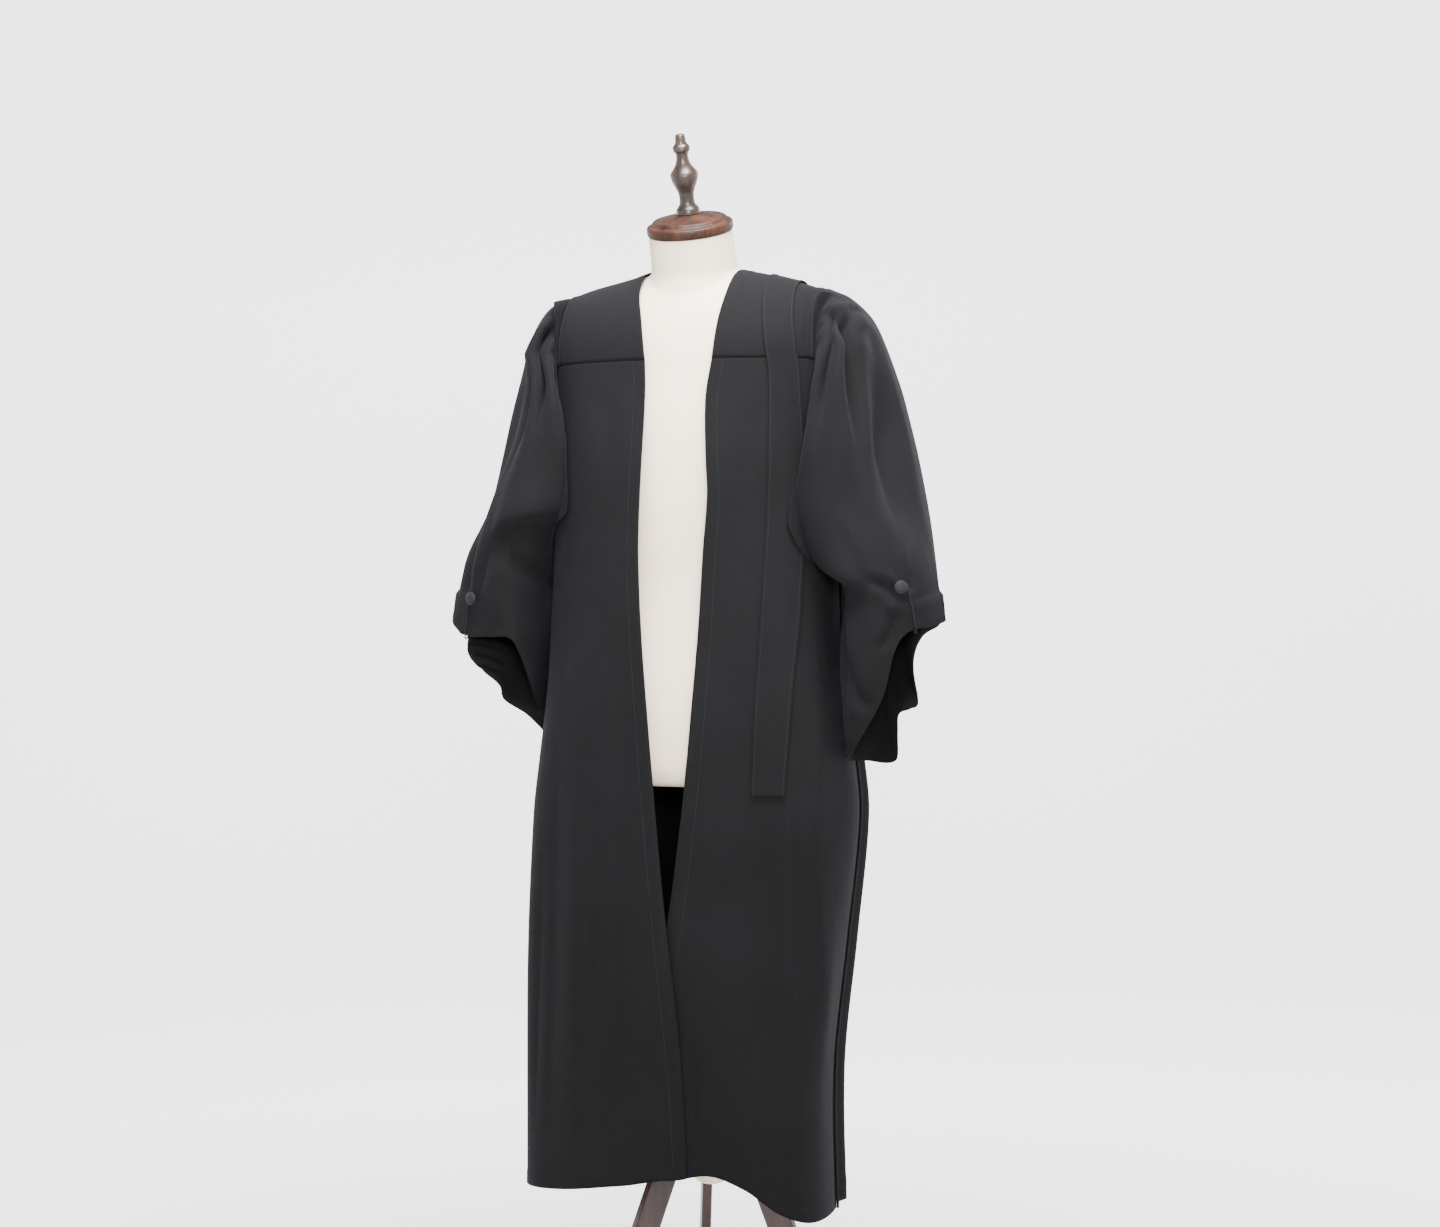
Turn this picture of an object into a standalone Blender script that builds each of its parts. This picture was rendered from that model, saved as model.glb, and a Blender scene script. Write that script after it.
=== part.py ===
"""A barrister's robe on a dress form with a turned neck cap and a three-legged stand.

Metres, +Z up. The form faces -Y, so the wearer's left is at +X. The origin is on the floor,
under the middle of the whole part.
"""
import math

import bmesh
import bpy
from mathutils import Vector

# Cloth
WALL = 0.002
STRIP_WALL = 0.0015
SEAM_GAP = 0.0003
TIDY = 1e-6
SMALL = 1e-4

# The whole part stands this far from the form's own axis, so that its box is centred
MIDDLE_X = -0.0055
MIDDLE_Y = 0.0596

# Robe, lengths
FRONT_YOKE_HEIGHT = 1.432
BACK_YOKE_HEIGHT = 1.400
UNDERARM_HEIGHT = 1.225
RIDGE_HEIGHT = 1.581
RIDGE_FALL = 0.268
RIDGE_ROUND = 0.020
SHOULDER_HALF = 0.180
NECK_TURN = math.radians(122)
SIDE_SEAM = math.radians(92)
ARMHOLE_FRONT = math.radians(64)
ARMHOLE_BACK = math.radians(112)


def columns(names, *rows):
    """A short table with named columns, its rows in rising order of the first."""
    return dict(zip(names.split(), zip(*sorted(rows))))


def read(table, column, at):
    """A column's value, smooth between the rows and flat past the ends."""
    keys, values = list(table.values())[0], table[column]
    if at <= keys[0]:
        return values[0]
    if at >= keys[-1]:
        return values[-1]
    i = max(k for k in range(len(keys) - 1) if keys[k] <= at)

    def slope(k):
        low, high = max(k - 1, 0), min(k + 1, len(keys) - 1)
        return (values[high] - values[low]) / (keys[high] - keys[low])

    span = keys[i + 1] - keys[i]
    t = (at - keys[i]) / span
    return (
        (1 + 2 * t) * (1 - t) ** 2 * values[i]
        + t * (1 - t) ** 2 * span * slope(i)
        + t * t * (3 - 2 * t) * values[i + 1]
        + t * t * (t - 1) * span * slope(i + 1)
    )


# Plan of the robe's body: half width on the wearer's right and left, depth in front and behind,
# and how square its corners are
BODY = columns(
    "height right left front back square",
    (1.440, 0.200, 0.200, 0.118, 0.112, 2.5),
    (1.300, 0.200, 0.200, 0.129, 0.126, 2.5),
    (1.200, 0.200, 0.199, 0.131, 0.134, 2.5),
    (1.100, 0.203, 0.200, 0.131, 0.140, 2.6),
    (1.000, 0.208, 0.206, 0.131, 0.152, 2.7),
    (0.900, 0.219, 0.221, 0.131, 0.160, 2.8),
    (0.820, 0.227, 0.227, 0.131, 0.166, 2.9),
    (0.650, 0.234, 0.209, 0.130, 0.174, 3.0),
    (0.480, 0.236, 0.191, 0.130, 0.180, 3.0),
    (0.280, 0.237, 0.193, 0.131, 0.186, 3.0),
)
BACK_SQUARE = 2.3
# Front edges, how far they lie from the middle
EDGES = columns(
    "height right left",
    (1.600, -0.070, 0.066),
    (1.530, -0.058, 0.066),
    (1.488, -0.046, 0.062),
    (1.432, -0.037, 0.0565),
    (1.376, -0.035, 0.0495),
    (1.285, -0.038, 0.052),
    (1.243, -0.040, 0.054),
    (1.165, -0.042, 0.049),
    (1.060, -0.038, 0.043),
    (0.926, -0.028, 0.032),
    (0.807, -0.018, 0.020),
    (0.688, -0.007, 0.003),
    (0.570, 0.006, -0.018),
    (0.465, 0.017, -0.036),
    (0.337, 0.025, -0.048),
)
# Hem height round the body, by the angle from the middle of the front
HEM = columns(
    "angle height",
    (-180, 0.300),
    (-90, 0.311),
    (-40, 0.317),
    (-8, 0.332),
    (8, 0.352),
    (22, 0.338),
    (42, 0.304),
    (66, 0.288),
    (110, 0.294),
    (180, 0.300),
)
# Folds, seen from the front: the face they are on, the ends of the line, its bow, and how wide
# they are and how far they stand out. These are the fronts' long soft ones.
FRONT_FOLDS = columns(
    "number face top_x top_z low_x low_z bow width depth",
    (1, -1, 0.176, 1.20, 0.201, 0.10, 0.0, 0.018, 0.007),
    (2, -1, 0.128, 0.84, 0.137, 0.10, 0.0, 0.022, -0.005),
    (3, -1, 0.155, 0.98, 0.170, 0.10, 0.0, 0.016, 0.004),
    (4, -1, 0.075, 0.70, 0.089, 0.10, 0.0, 0.030, 0.004),
    (5, -1, -0.165, 0.95, -0.185, 0.10, 0.0, 0.022, -0.005),
    (6, -1, -0.120, 0.80, -0.141, 0.10, 0.0, 0.026, 0.005),
    (7, -1, -0.070, 0.60, -0.087, 0.10, 0.0, 0.030, -0.004),
)
FOLD_EASE = 0.15
# How the wearer's left front goes behind the right one low down
TUCK_TOP, TUCK_LONG, TUCK_FROM, TUCK_WIDE = 0.80, 0.46, -0.05, 0.075
TUCK_DEEP, TUCK_STEP, TUCK_CURVE = 0.034, 0.0035, 1.3

# Flutes of the back, with how unevenly they are spaced and how they fade at the side seams
FLUTES = 11
FLUTE_SWAY, FLUTE_SWAYS, FLUTE_START = 0.012, 2.5, 0.6
FLUTE_LEAST, FLUTE_FADE, FLUTE_SEAM = 0.15, 0.25, 0.02
FLUTE_ROWS = columns(
    "height wide fine",
    (1.400, 0.0000, 0.0000),
    (1.380, 0.0010, 0.0030),
    (1.300, 0.0040, 0.0035),
    (1.150, 0.0080, 0.0022),
    (0.900, 0.0120, 0.0008),
    (0.600, 0.0140, 0.0000),
    (0.300, 0.0155, 0.0000),
)

# Sleeve sections, from the armhole to the hem: the outer line, the under line, and the depth
SLEEVE = columns(
    "station left_x right_x top_z under_x under_z front back",
    (1, 0.213, 0.213, 1.519, 0.202, 1.210, 0.100, 0.090),
    (2, 0.246, 0.239, 1.482, 0.205, 1.180, 0.112, 0.100),
    (3, 0.273, 0.261, 1.411, 0.208, 1.140, 0.119, 0.108),
    (4, 0.294, 0.283, 1.335, 0.212, 1.095, 0.120, 0.112),
    (5, 0.310, 0.301, 1.262, 0.218, 1.045, 0.117, 0.112),
    (6, 0.322, 0.319, 1.195, 0.226, 0.995, 0.112, 0.108),
    (7, 0.330, 0.334, 1.135, 0.235, 0.940, 0.104, 0.102),
    (8, 0.336, 0.342, 1.086, 0.243, 0.902, 0.092, 0.092),
)
SLEEVE_SQUARENESS = 2.4
HEM_STATION = 8
# The sleeves' hems, each drawn up by its button in its own way: where the sections end round it,
# and the hem's own line. Turn 0 is the outer line, 90 the front and 180 the under line.
HEM_LEFT = columns(
    "turn end x y z",
    (0, 8.0, 0.336, 0.010, 1.086),
    (30, 8.0, 0.326, -0.055, 1.078),
    (55, 8.0, 0.312, -0.082, 1.068),
    (75, 8.0, 0.299, -0.092, 1.045),
    (95, 8.0, 0.286, -0.095, 0.990),
    (120, 8.0, 0.266, -0.095, 0.950),
    (145, 8.0, 0.250, -0.085, 0.912),
    (175, 8.0, 0.248, -0.030, 0.899),
    (195, 8.0, 0.248, 0.030, 0.897),
    (213, 8.0, 0.250, 0.078, 0.900),
    (235, 8.0, 0.253, 0.087, 0.945),
    (255, 8.0, 0.270, 0.087, 0.966),
    (275, 8.0, 0.284, 0.085, 0.994),
    (300, 8.0, 0.287, 0.078, 1.045),
    (330, 8.0, 0.319, 0.050, 1.079),
    (360, 8.0, 0.336, 0.010, 1.086),
)
HEM_RIGHT = columns(
    "turn end x y z",
    (0, 8.0, 0.347, 0.000, 1.088),
    (30, 7.8, 0.326, -0.055, 1.070),
    (55, 7.3, 0.308, -0.085, 1.062),
    (75, 6.8, 0.285, -0.098, 1.062),
    (95, 6.3, 0.260, -0.104, 1.062),
    (120, 5.8, 0.236, -0.106, 1.060),
    (145, 6.0, 0.226, -0.090, 1.035),
    (180, 7.3, 0.234, -0.020, 0.955),
    (210, 8.0, 0.243, 0.030, 0.907),
    (235, 8.0, 0.264, 0.040, 0.930),
    (255, 8.0, 0.291, 0.043, 0.960),
    (275, 8.0, 0.315, 0.040, 0.995),
    (300, 8.0, 0.333, 0.030, 1.030),
    (330, 8.0, 0.340, 0.014, 1.064),
    (360, 8.0, 0.347, 0.000, 1.088),
)
HEM_EASE = 3.2
# Folds of a sleeve
SLEEVE_FOLDS = columns(
    "number face top_x top_z low_x low_z bow width depth",
    (1, -1, 0.236, 1.490, 0.296, 1.110, -0.010, 0.011, -0.014),
    (2, -1, 0.214, 1.470, 0.236, 1.300, 0.006, 0.010, -0.008),
    (3, -1, 0.205, 1.475, 0.186, 1.290, 0.006, 0.008, -0.006),
    (4, 1, 0.232, 1.480, 0.290, 1.080, -0.010, 0.014, -0.012),
    (5, 1, 0.212, 1.470, 0.240, 1.200, 0.004, 0.012, -0.008),
    (6, 1, 0.262, 1.420, 0.318, 1.130, 0.000, 0.012, -0.007),
)
GATHERS, GATHER_DEEP, GATHER_LONG, GATHER_SPREAD = 9, 0.0035, 2.2, math.radians(100)
# The swag in front of the elbow, which the button draws up: its lower line
SWAG = columns(
    "x height",
    (0.160, 1.245),
    (0.180, 1.212),
    (0.205, 1.170),
    (0.235, 1.134),
    (0.265, 1.120),
    (0.300, 1.118),
)
SWAG_DEEP, SWAG_WIDE, SWAG_NEAR = 0.010, 0.022, 0.06
# How far a sleeve lies off the armhole's edge and off the body, and where that begins
HEAD_GAP, HEAD_LIFT = 0.0008, 0.0015
BODY_CLEAR, FLUTE_CLEAR, CLEAR_FROM, CLEAR_EASE = 0.0045, 0.010, 1.245, 0.03

# Strip on the wearer's left: its middle line and half width
STRIP = columns(
    "height middle half",
    (1.600, 0.114, 0.0210),
    (1.500, 0.123, 0.0200),
    (1.432, 0.142, 0.0180),
    (1.400, 0.151, 0.0170),
    (1.260, 0.1525, 0.0215),
    (1.100, 0.1465, 0.0225),
    (0.980, 0.1395, 0.0220),
    (0.854, 0.1345, 0.0212),
)
STRIP_END = 0.854
STRIP_TURN = math.radians(112)
STRIP_LIFT = 0.0016
STRIP_ACROSS, STRIP_RIDGE = 4, 0.12

# Hood: a small pouch behind the wearer's left shoulder, from the strip's end down
HOOD = columns(
    "down middle half out",
    (0.00, 0.113, 0.0200, 0.0036),
    (0.15, 0.110, 0.0300, 0.0060),
    (0.45, 0.102, 0.0480, 0.0110),
    (0.75, 0.096, 0.0540, 0.0130),
    (0.92, 0.094, 0.0440, 0.0125),
    (1.00, 0.094, 0.0240, 0.0120),
)
HOOD_LOW, HOOD_BULGE, HOOD_SHARE, HOOD_START = 1.262, 0.012, 0.45, 0.004

# Buttons and cords of the sleeves
BUTTON_STATION, BUTTON_TURN = 7.2, math.radians(26)
BUTTON = columns(
    "height radius",
    (0.0000, 0.0025),
    (0.0035, 0.0025),
    (0.0036, 0.0080),
    (0.0045, 0.0090),
    (0.0062, 0.0088),
    (0.0078, 0.0068),
    (0.0088, 0.0036),
)
BUTTON_LIFT = 0.0022
CORD_RADIUS, CORD_LIFT, CORD_TURN, CORD_END = 0.0012, 0.0010, math.radians(17), 0.010

# Dress form: its plan from the bottom to the chest
FORM = columns(
    "height half front back",
    (0.862, 0.140, 0.086, 0.088),
    (0.868, 0.149, 0.094, 0.096),
    (0.890, 0.156, 0.100, 0.103),
    (0.980, 0.160, 0.103, 0.107),
    (1.120, 0.140, 0.093, 0.095),
    (1.250, 0.148, 0.103, 0.100),
    (1.340, 0.160, 0.107, 0.101),
    (1.420, 0.168, 0.101, 0.096),
)
FORM_SQUARENESS = 2.3
FORM_SIDES = 36
FORM_CHEST = 1.420
SHOULDER_END = 12
TORSO_HEIGHTS = (0.862, 0.868, 0.890, 0.980, 1.06, 1.13, 1.20, 1.28, 1.36)
SHOULDER_SHARES = (1.0, 0.98, 0.93, 0.85, 0.73, 0.58, 0.40, 0.20)
SEAT = 0.0014
NECK_LEAN = math.radians(20)
NECK_AXIS = Vector((0, -math.sin(NECK_LEAN), math.cos(NECK_LEAN)))
NECK_FOOT = (0.0, -0.012, 1.545)
NECK_RINGS = columns(
    "along radius lean",
    (0.000, 0.0640, 0.00),
    (0.010, 0.0600, 0.35),
    (0.030, 0.0580, 0.80),
    (0.070, 0.0568, 1.00),
)
CAP = columns(
    "height radius",
    (0.0000, 0.0565),
    (0.0020, 0.0590),
    (0.0110, 0.0590),
    (0.0135, 0.0570),
    (0.0150, 0.0520),
    (0.0190, 0.0500),
    (0.0205, 0.0450),
    (0.0195, 0.0420),
    (0.0230, 0.0300),
    (0.0265, 0.0170),
)
FINIAL = columns(
    "height radius",
    (0.0000, 0.0165),
    (0.0055, 0.0160),
    (0.0092, 0.0130),
    (0.0137, 0.0102),
    (0.0256, 0.0100),
    (0.0329, 0.0125),
    (0.0439, 0.0175),
    (0.0512, 0.0193),
    (0.0549, 0.0186),
    (0.0631, 0.0120),
    (0.0714, 0.0086),
    (0.0805, 0.0080),
    (0.0842, 0.0110),
    (0.0878, 0.0121),
    (0.0915, 0.0108),
    (0.0942, 0.0074),
    (0.1043, 0.0070),
    (0.1071, 0.0050),
)
FACE_GAP = 0.0003

# Stand
STAND_X, STAND_Y = 0.003, 0.044
HUB = columns(
    "height radius",
    (0.306, 0.0120),
    (0.309, 0.0190),
    (0.316, 0.0250),
    (0.330, 0.0290),
    (0.345, 0.0300),
    (0.455, 0.0300),
)
POLE_RADIUS, FLANGE_RADIUS, FLANGE_THICK, FLANGE_ROUND = 0.0125, 0.042, 0.006, 0.002
LEGS, LEG_WIDE, LEG_THICK, LEG_ROUND, LEG_SLOPE, LEG_TOP = 3, 0.038, 0.014, 0.0025, 0.42, 0.452
LEG_AT_HEIGHT, LEG_AT_RADIUS = 0.260, 0.106
LEG_FIRST = math.radians(-38)


def square_at(height, front):
    return read(BODY, "square", height) if front else BACK_SQUARE


def body_side(x_or_angle, height):
    return read(BODY, "left" if x_or_angle >= 0 else "right", height)


def angle_at(x, height, front=True):
    """The angle, from the nearer middle line, at which the body's plan reaches x."""
    share = min(abs(x) / body_side(x, height), 1.0)
    return math.copysign(math.asin(share ** (square_at(height, front) / 2)), x)


def plan_depth(x, height, column):
    """How far the body's plan reaches forward or back at x."""
    share = min(abs(x) / body_side(x, height), 1.0)
    square = square_at(height, column == "front")
    return read(BODY, column, height) * (1 - share**square) ** (1 / square)


def table_rows(table):
    return [dict(zip(table, values)) for values in zip(*table.values())]


def fold_push(folds, face, x, z):
    """How far a face's folds stand out or in at a place seen from the front."""
    push = 0.0
    for row in table_rows(folds):
        t = (row["top_z"] - z) / (row["top_z"] - row["low_z"])
        fade = min(1.0, (t + FOLD_EASE) / (2 * FOLD_EASE), (1 + FOLD_EASE - t) / (2 * FOLD_EASE))
        if row["face"] != face or fade <= 0:
            continue
        line = mixed(row["top_x"], row["low_x"], t)
        line += row["bow"] * math.sin(math.pi * min(max(t, 0), 1))
        push += row["depth"] * fade * math.exp(-(((x - line) / row["width"]) ** 2))
    return push


def body_point(angle, height, out=0.0):
    """Outer face of the robe's body, moved outwards by out."""
    front = math.cos(angle) >= 0
    square = square_at(height, front)
    power = 2 / square
    side = body_side(angle, height)
    depth = read(BODY, "front" if front else "back", height)
    x = side * math.copysign(abs(math.sin(angle)) ** power, math.sin(angle))
    y = depth * abs(math.cos(angle)) ** power * (-1 if front else 1)
    lean_x = math.copysign((abs(x) / side) ** (square - 1) / side, x)
    lean_y = math.copysign((abs(y) / depth) ** (square - 1) / depth, y)
    normal = Vector((lean_x, lean_y, 0)).normalized()
    if front:
        out += fold_push(FRONT_FOLDS, -1, x, height)
    return Vector((x, y, height)) + normal * out


def over_shoulder(x, turn, out=0.0):
    """Outer face of the yoke at x, turn running from the front seam over the ridge to the back."""

    def face(x, turn):
        front = turn <= math.pi / 2
        seam = FRONT_YOKE_HEIGHT if front else BACK_YOKE_HEIGHT
        depth = plan_depth(x, seam, "front" if front else "back")
        rise = RIDGE_HEIGHT - RIDGE_FALL * math.sqrt(x * x + RIDGE_ROUND**2) - seam
        return Vector((x, -depth * math.cos(turn), seam + rise * math.sin(turn)))

    if not out:
        return face(x, turn)
    across = face(x + SMALL, turn) - face(x - SMALL, turn)
    onward = face(x, turn + SMALL) - face(x, turn - SMALL)
    return face(x, turn) + across.cross(onward).normalized() * out


def spaced(count, start=0.0, stop=1.0):
    return [start + (stop - start) * k / (count - 1) for k in range(count)]


def mixed(a, b, t):
    return a + (b - a) * t


def material(name, colour, roughness, metallic=0.0):
    finish = bpy.data.materials.new(name)
    finish.use_nodes = True
    shader = finish.node_tree.nodes["Principled BSDF"]
    shader.inputs["Base Color"].default_value = (*colour, 1)
    shader.inputs["Roughness"].default_value = roughness
    shader.inputs["Metallic"].default_value = metallic
    return finish


def add_object(name, mesh, finish, parent, place=(0, 0, 0), turn=(0, 0, 0)):
    mesh.materials.append(finish)
    mesh.shade_smooth()
    mesh.set_sharp_from_angle(angle=math.radians(50))
    thing = bpy.data.objects.new(name, mesh)
    bpy.context.collection.objects.link(thing)
    thing.parent = parent
    thing.location = place
    thing.rotation_euler = turn
    return thing


def finished(name, bm):
    mesh = bpy.data.meshes.new(name)
    bm.to_mesh(mesh)
    bm.free()
    return mesh


def cloth(name, grids, inside, finish, parent, ring=False, wall=WALL):
    """A panel of cloth from grids of points: its outer face, thickened towards the inside."""
    bm = bmesh.new()
    for rows in grids:
        grid = [[bm.verts.new(point) for point in row] for row in rows]
        wide = len(rows[0])
        for upper, lower in zip(grid, grid[1:]):
            for k in range(wide if ring else wide - 1):
                n = (k + 1) % wide
                bm.faces.new((upper[k], lower[k], lower[n], upper[n]))
    bmesh.ops.remove_doubles(bm, verts=bm.verts, dist=TIDY)
    bm.normal_update()
    away = [(f.calc_center_median() - Vector(inside)).dot(f.normal) * f.calc_area() for f in bm.faces]
    if sum(away) < 0:
        bmesh.ops.reverse_faces(bm, faces=bm.faces)
    thing = add_object(name, finished(name, bm), finish, parent)
    thicken = thing.modifiers.new("wall", "SOLIDIFY")
    thicken.thickness = wall
    thicken.offset = -1
    thicken.use_even_offset = False
    return thing


def closed_rings(name, rows):
    """A body from rings of points, lowest first, closed at both ends."""
    bm = bmesh.new()
    rings = [[bm.verts.new(point) for point in row] for row in rows]
    for lower, upper in zip(rings, rings[1:]):
        for k in range(len(lower)):
            n = (k + 1) % len(lower)
            bm.faces.new((lower[k], lower[n], upper[n], upper[k]))
    bm.faces.new(rings[0][::-1])
    bm.faces.new(rings[-1])
    return finished(name, bm)


# Robe

YOKE_TURNS, YOKE_ACROSS = spaced(15, 0.0, math.pi), 8
FRONT_ACROSS = 15
FRONT_ROWS = (0, 0.04, 0.09, 0.13, 0.155, 0.172, 0.19, 0.25, 0.33, 0.41, 0.5, 0.6, 0.7, 0.8, 0.9, 1)
FLUTE_STEPS = 8
BACK_ROWS = (0, 0.025, 0.08, 0.13, 0.16, 0.22, 0.34, 0.48, 0.64, 0.82, 1)
PLAIN_HEM = 0.30
MEAN_RADIUS = 0.14


def neck_edge(side, turn):
    """Where the yoke's inner edge lies: the front edge, the neck, then the middle of the back."""
    ridge = math.pi / 2
    if turn <= ridge:
        x, _, height = over_shoulder(0.05 * side, turn)
        return read(EDGES, "left" if side > 0 else "right", height)
    if turn >= NECK_TURN:
        return 0.0
    start = read(EDGES, "left" if side > 0 else "right", 1.60)
    t = (turn - ridge) / (NECK_TURN - ridge)
    return start * math.sqrt(1 - t * t)


def arm_edge(turn):
    """Where the yoke's outer edge lies at the armhole."""
    front = body_point(ARMHOLE_FRONT, FRONT_YOKE_HEIGHT).x
    back = body_point(ARMHOLE_BACK, BACK_YOKE_HEIGHT).x
    end = front if turn < math.pi / 2 else back
    return mixed(end, SHOULDER_HALF, math.sin(turn) ** 2)


def build_yoke(finish, parent):
    grids = []
    for side in (-1, 1):
        rows = []
        for turn in sorted(YOKE_TURNS + [NECK_TURN]):
            inner, outer = neck_edge(side, turn), side * arm_edge(turn)
            row = [over_shoulder(mixed(inner, outer, t), turn) for t in spaced(YOKE_ACROSS)]
            rows.append(row[::side])
        grids.append(rows)
    return cloth("yoke", grids, (0, 0, 1.2), finish, parent)


def armhole_angle(height, start, top):
    """The angle of the armhole's edge on the body, which meets the side seam at the underarm."""
    if height <= UNDERARM_HEIGHT:
        return SIDE_SEAM
    t = (top - height) / (top - UNDERARM_HEIGHT)
    return mixed(start, SIDE_SEAM, max(t, 0.0) ** 4)


def tuck(x, height):
    """How far the wearer's left front goes in, behind the right one low down."""
    low = min(max((TUCK_TOP - height) / TUCK_LONG, 0.0), 1.0)
    near = 1 - min(max(x - TUCK_FROM, 0.0) / TUCK_WIDE, 1.0)
    return TUCK_STEP * min(low * 6, 1.0) + TUCK_DEEP * low**TUCK_CURVE * near * near * (3 - 2 * near)


def front_point(side, across, down):
    """Outer face of a front: across from its edge to the side seam, down from the yoke."""
    top = FRONT_YOKE_HEIGHT - SEAM_GAP
    height = mixed(top, PLAIN_HEM, down)
    edge_x = read(EDGES, "left" if side > 0 else "right", height)
    edge = angle_at(edge_x, height)
    outer = armhole_angle(height, ARMHOLE_FRONT, FRONT_YOKE_HEIGHT)
    if height <= UNDERARM_HEIGHT:
        outer -= SEAM_GAP / 2 / MEAN_RADIUS
    angle = mixed(edge, side * outer, across)
    hem = read(HEM, "height", math.degrees(angle))
    height = mixed(top, hem, down)
    x = body_point(angle, height).x
    return body_point(angle, height, -tuck(x, height) if side > 0 else 0.0)


def build_front(name, side, finish, parent):
    rows = [[front_point(side, t, down) for t in spaced(FRONT_ACROSS)] for down in FRONT_ROWS]
    return cloth(name, [rows], (0, 0.1, 0.9), finish, parent)


def back_point(across, down):
    """Outer face of the back: across from the wearer's left side seam to the right one."""
    top = BACK_YOKE_HEIGHT - SEAM_GAP
    height = mixed(top, PLAIN_HEM, down)
    edge = armhole_angle(height, ARMHOLE_BACK, BACK_YOKE_HEIGHT)
    if height <= UNDERARM_HEIGHT:
        edge += SEAM_GAP / 2 / MEAN_RADIUS
    angle = mixed(edge, 2 * math.pi - edge, across)
    signed = angle if angle <= math.pi else angle - 2 * math.pi
    hem = read(HEM, "height", math.degrees(signed))
    height = mixed(top, hem, down)
    uneven = across + FLUTE_SWAY * math.sin(math.tau * FLUTE_SWAYS * across + FLUTE_START)
    inward = min(across, 1 - across)
    window = min(1.0, FLUTE_LEAST + inward / FLUTE_FADE, inward / FLUTE_SEAM)
    wave = read(FLUTE_ROWS, "wide", height) * math.cos(math.tau * FLUTES * uneven)
    wave += read(FLUTE_ROWS, "fine", height) * math.cos(math.tau * 2 * FLUTES * uneven + 0.5)
    return body_point(signed, height, window * wave)


def build_back(finish, parent):
    across = spaced(FLUTES * FLUTE_STEPS + 1)
    rows = [[back_point(t, down) for t in across] for down in BACK_ROWS]
    return cloth("back", [rows], (0, 0, 0.9), finish, parent)


def along(points, share):
    """The point a share of the way along a line of points, by length."""
    lengths = [0.0]
    for a, b in zip(points, points[1:]):
        lengths.append(lengths[-1] + (b - a).length)
    target = share * lengths[-1]
    for a, b, low, high in zip(points, points[1:], lengths, lengths[1:]):
        if target <= high + TIDY:
            return a.lerp(b, (target - low) / max(high - low, TIDY))
    return points[-1]


def armhole_line(front):
    """Half the armhole, from the shoulder down to the underarm, just outside the panels' edges."""
    start, top, rows = (
        (ARMHOLE_FRONT, FRONT_YOKE_HEIGHT, spaced(9, math.pi / 2, 0.0))
        if front
        else (ARMHOLE_BACK, BACK_YOKE_HEIGHT, spaced(9, math.pi / 2, math.pi))
    )
    line = [over_shoulder(arm_edge(turn), turn) for turn in rows]
    for height in spaced(12, top, UNDERARM_HEIGHT)[1:]:
        line.append(body_point(armhole_angle(height, start, top), height))
    return line


def sleeve_ring(station, turn, lines, side):
    """A point of one sleeve section. Turn 0 is the outer line, a quarter the front."""
    if station == 0:
        share = turn / math.pi if turn <= math.pi else 2 - turn / math.pi
        point = along(lines[turn <= math.pi], share)
        return point + Vector((HEAD_GAP, 0, -HEAD_LIFT * math.cos(turn)))
    row = {name: values[station - 1] for name, values in SLEEVE.items()}
    power = 2 / SLEEVE_SQUARENESS
    up = math.copysign(abs(math.cos(turn)) ** power, math.cos(turn))
    fore = math.copysign(abs(math.sin(turn)) ** power, math.sin(turn))
    top_x = row["left_x"] if side > 0 else row["right_x"]
    x = (top_x + row["under_x"]) / 2 + (top_x - row["under_x"]) / 2 * up
    z = (row["top_z"] + row["under_z"]) / 2 + (row["top_z"] - row["under_z"]) / 2 * up
    y = -row["front"] * fore if fore > 0 else -row["back"] * fore
    return Vector((x, y, z))


def sleeve_sections(station, turn, lines, side):
    """A sleeve's plain form, smooth between its sections."""
    i = min(int(station), HEM_STATION - 1)
    t = station - i
    near = [min(max(k, 0), HEM_STATION) for k in range(i - 1, i + 3)]
    p = [sleeve_ring(k, turn, lines, side) for k in near]
    return 0.5 * (
        2 * p[1]
        + (p[2] - p[0]) * t
        + (2 * p[0] - 5 * p[1] + 4 * p[2] - p[3]) * t * t
        + (3 * p[1] - p[0] - 3 * p[2] + p[3]) * t**3
    )


def sleeve_smooth(station, turn, lines, side):
    """A sleeve's plain form, trimmed and eased to its hem, as if it were the wearer's left one."""
    hem = HEM_LEFT if side > 0 else HEM_RIGHT
    degrees = math.degrees(turn) % 360
    end = read(hem, "end", degrees)
    point = sleeve_sections(station * end / HEM_STATION, turn, lines, side)
    t = max(0.0, (station - HEM_STATION + HEM_EASE) / HEM_EASE)
    target = Vector([read(hem, name, degrees) for name in "xyz"])
    return point + (target - sleeve_sections(end, turn, lines, side)) * t * t * (3 - 2 * t)


def clear_of_body(point, side_sign):
    """Moves a sleeve's point out of the robe's body, as if it rested against it."""
    if point.z > CLEAR_FROM:
        return point
    front = point.y < 0
    side = body_side(side_sign, point.z) + BODY_CLEAR
    depth = read(BODY, "front" if front else "back", point.z) + BODY_CLEAR
    depth += 0.0 if front else FLUTE_CLEAR
    square = square_at(point.z, front)
    reach = (abs(point.x / side) ** square + abs(point.y / depth) ** square) ** (1 / square)
    if reach >= 1:
        return point
    grow = mixed(1.0, 1 / reach, min((CLEAR_FROM - point.z) / CLEAR_EASE, 1.0))
    return Vector((point.x * grow, point.y * grow, point.z))


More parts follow.
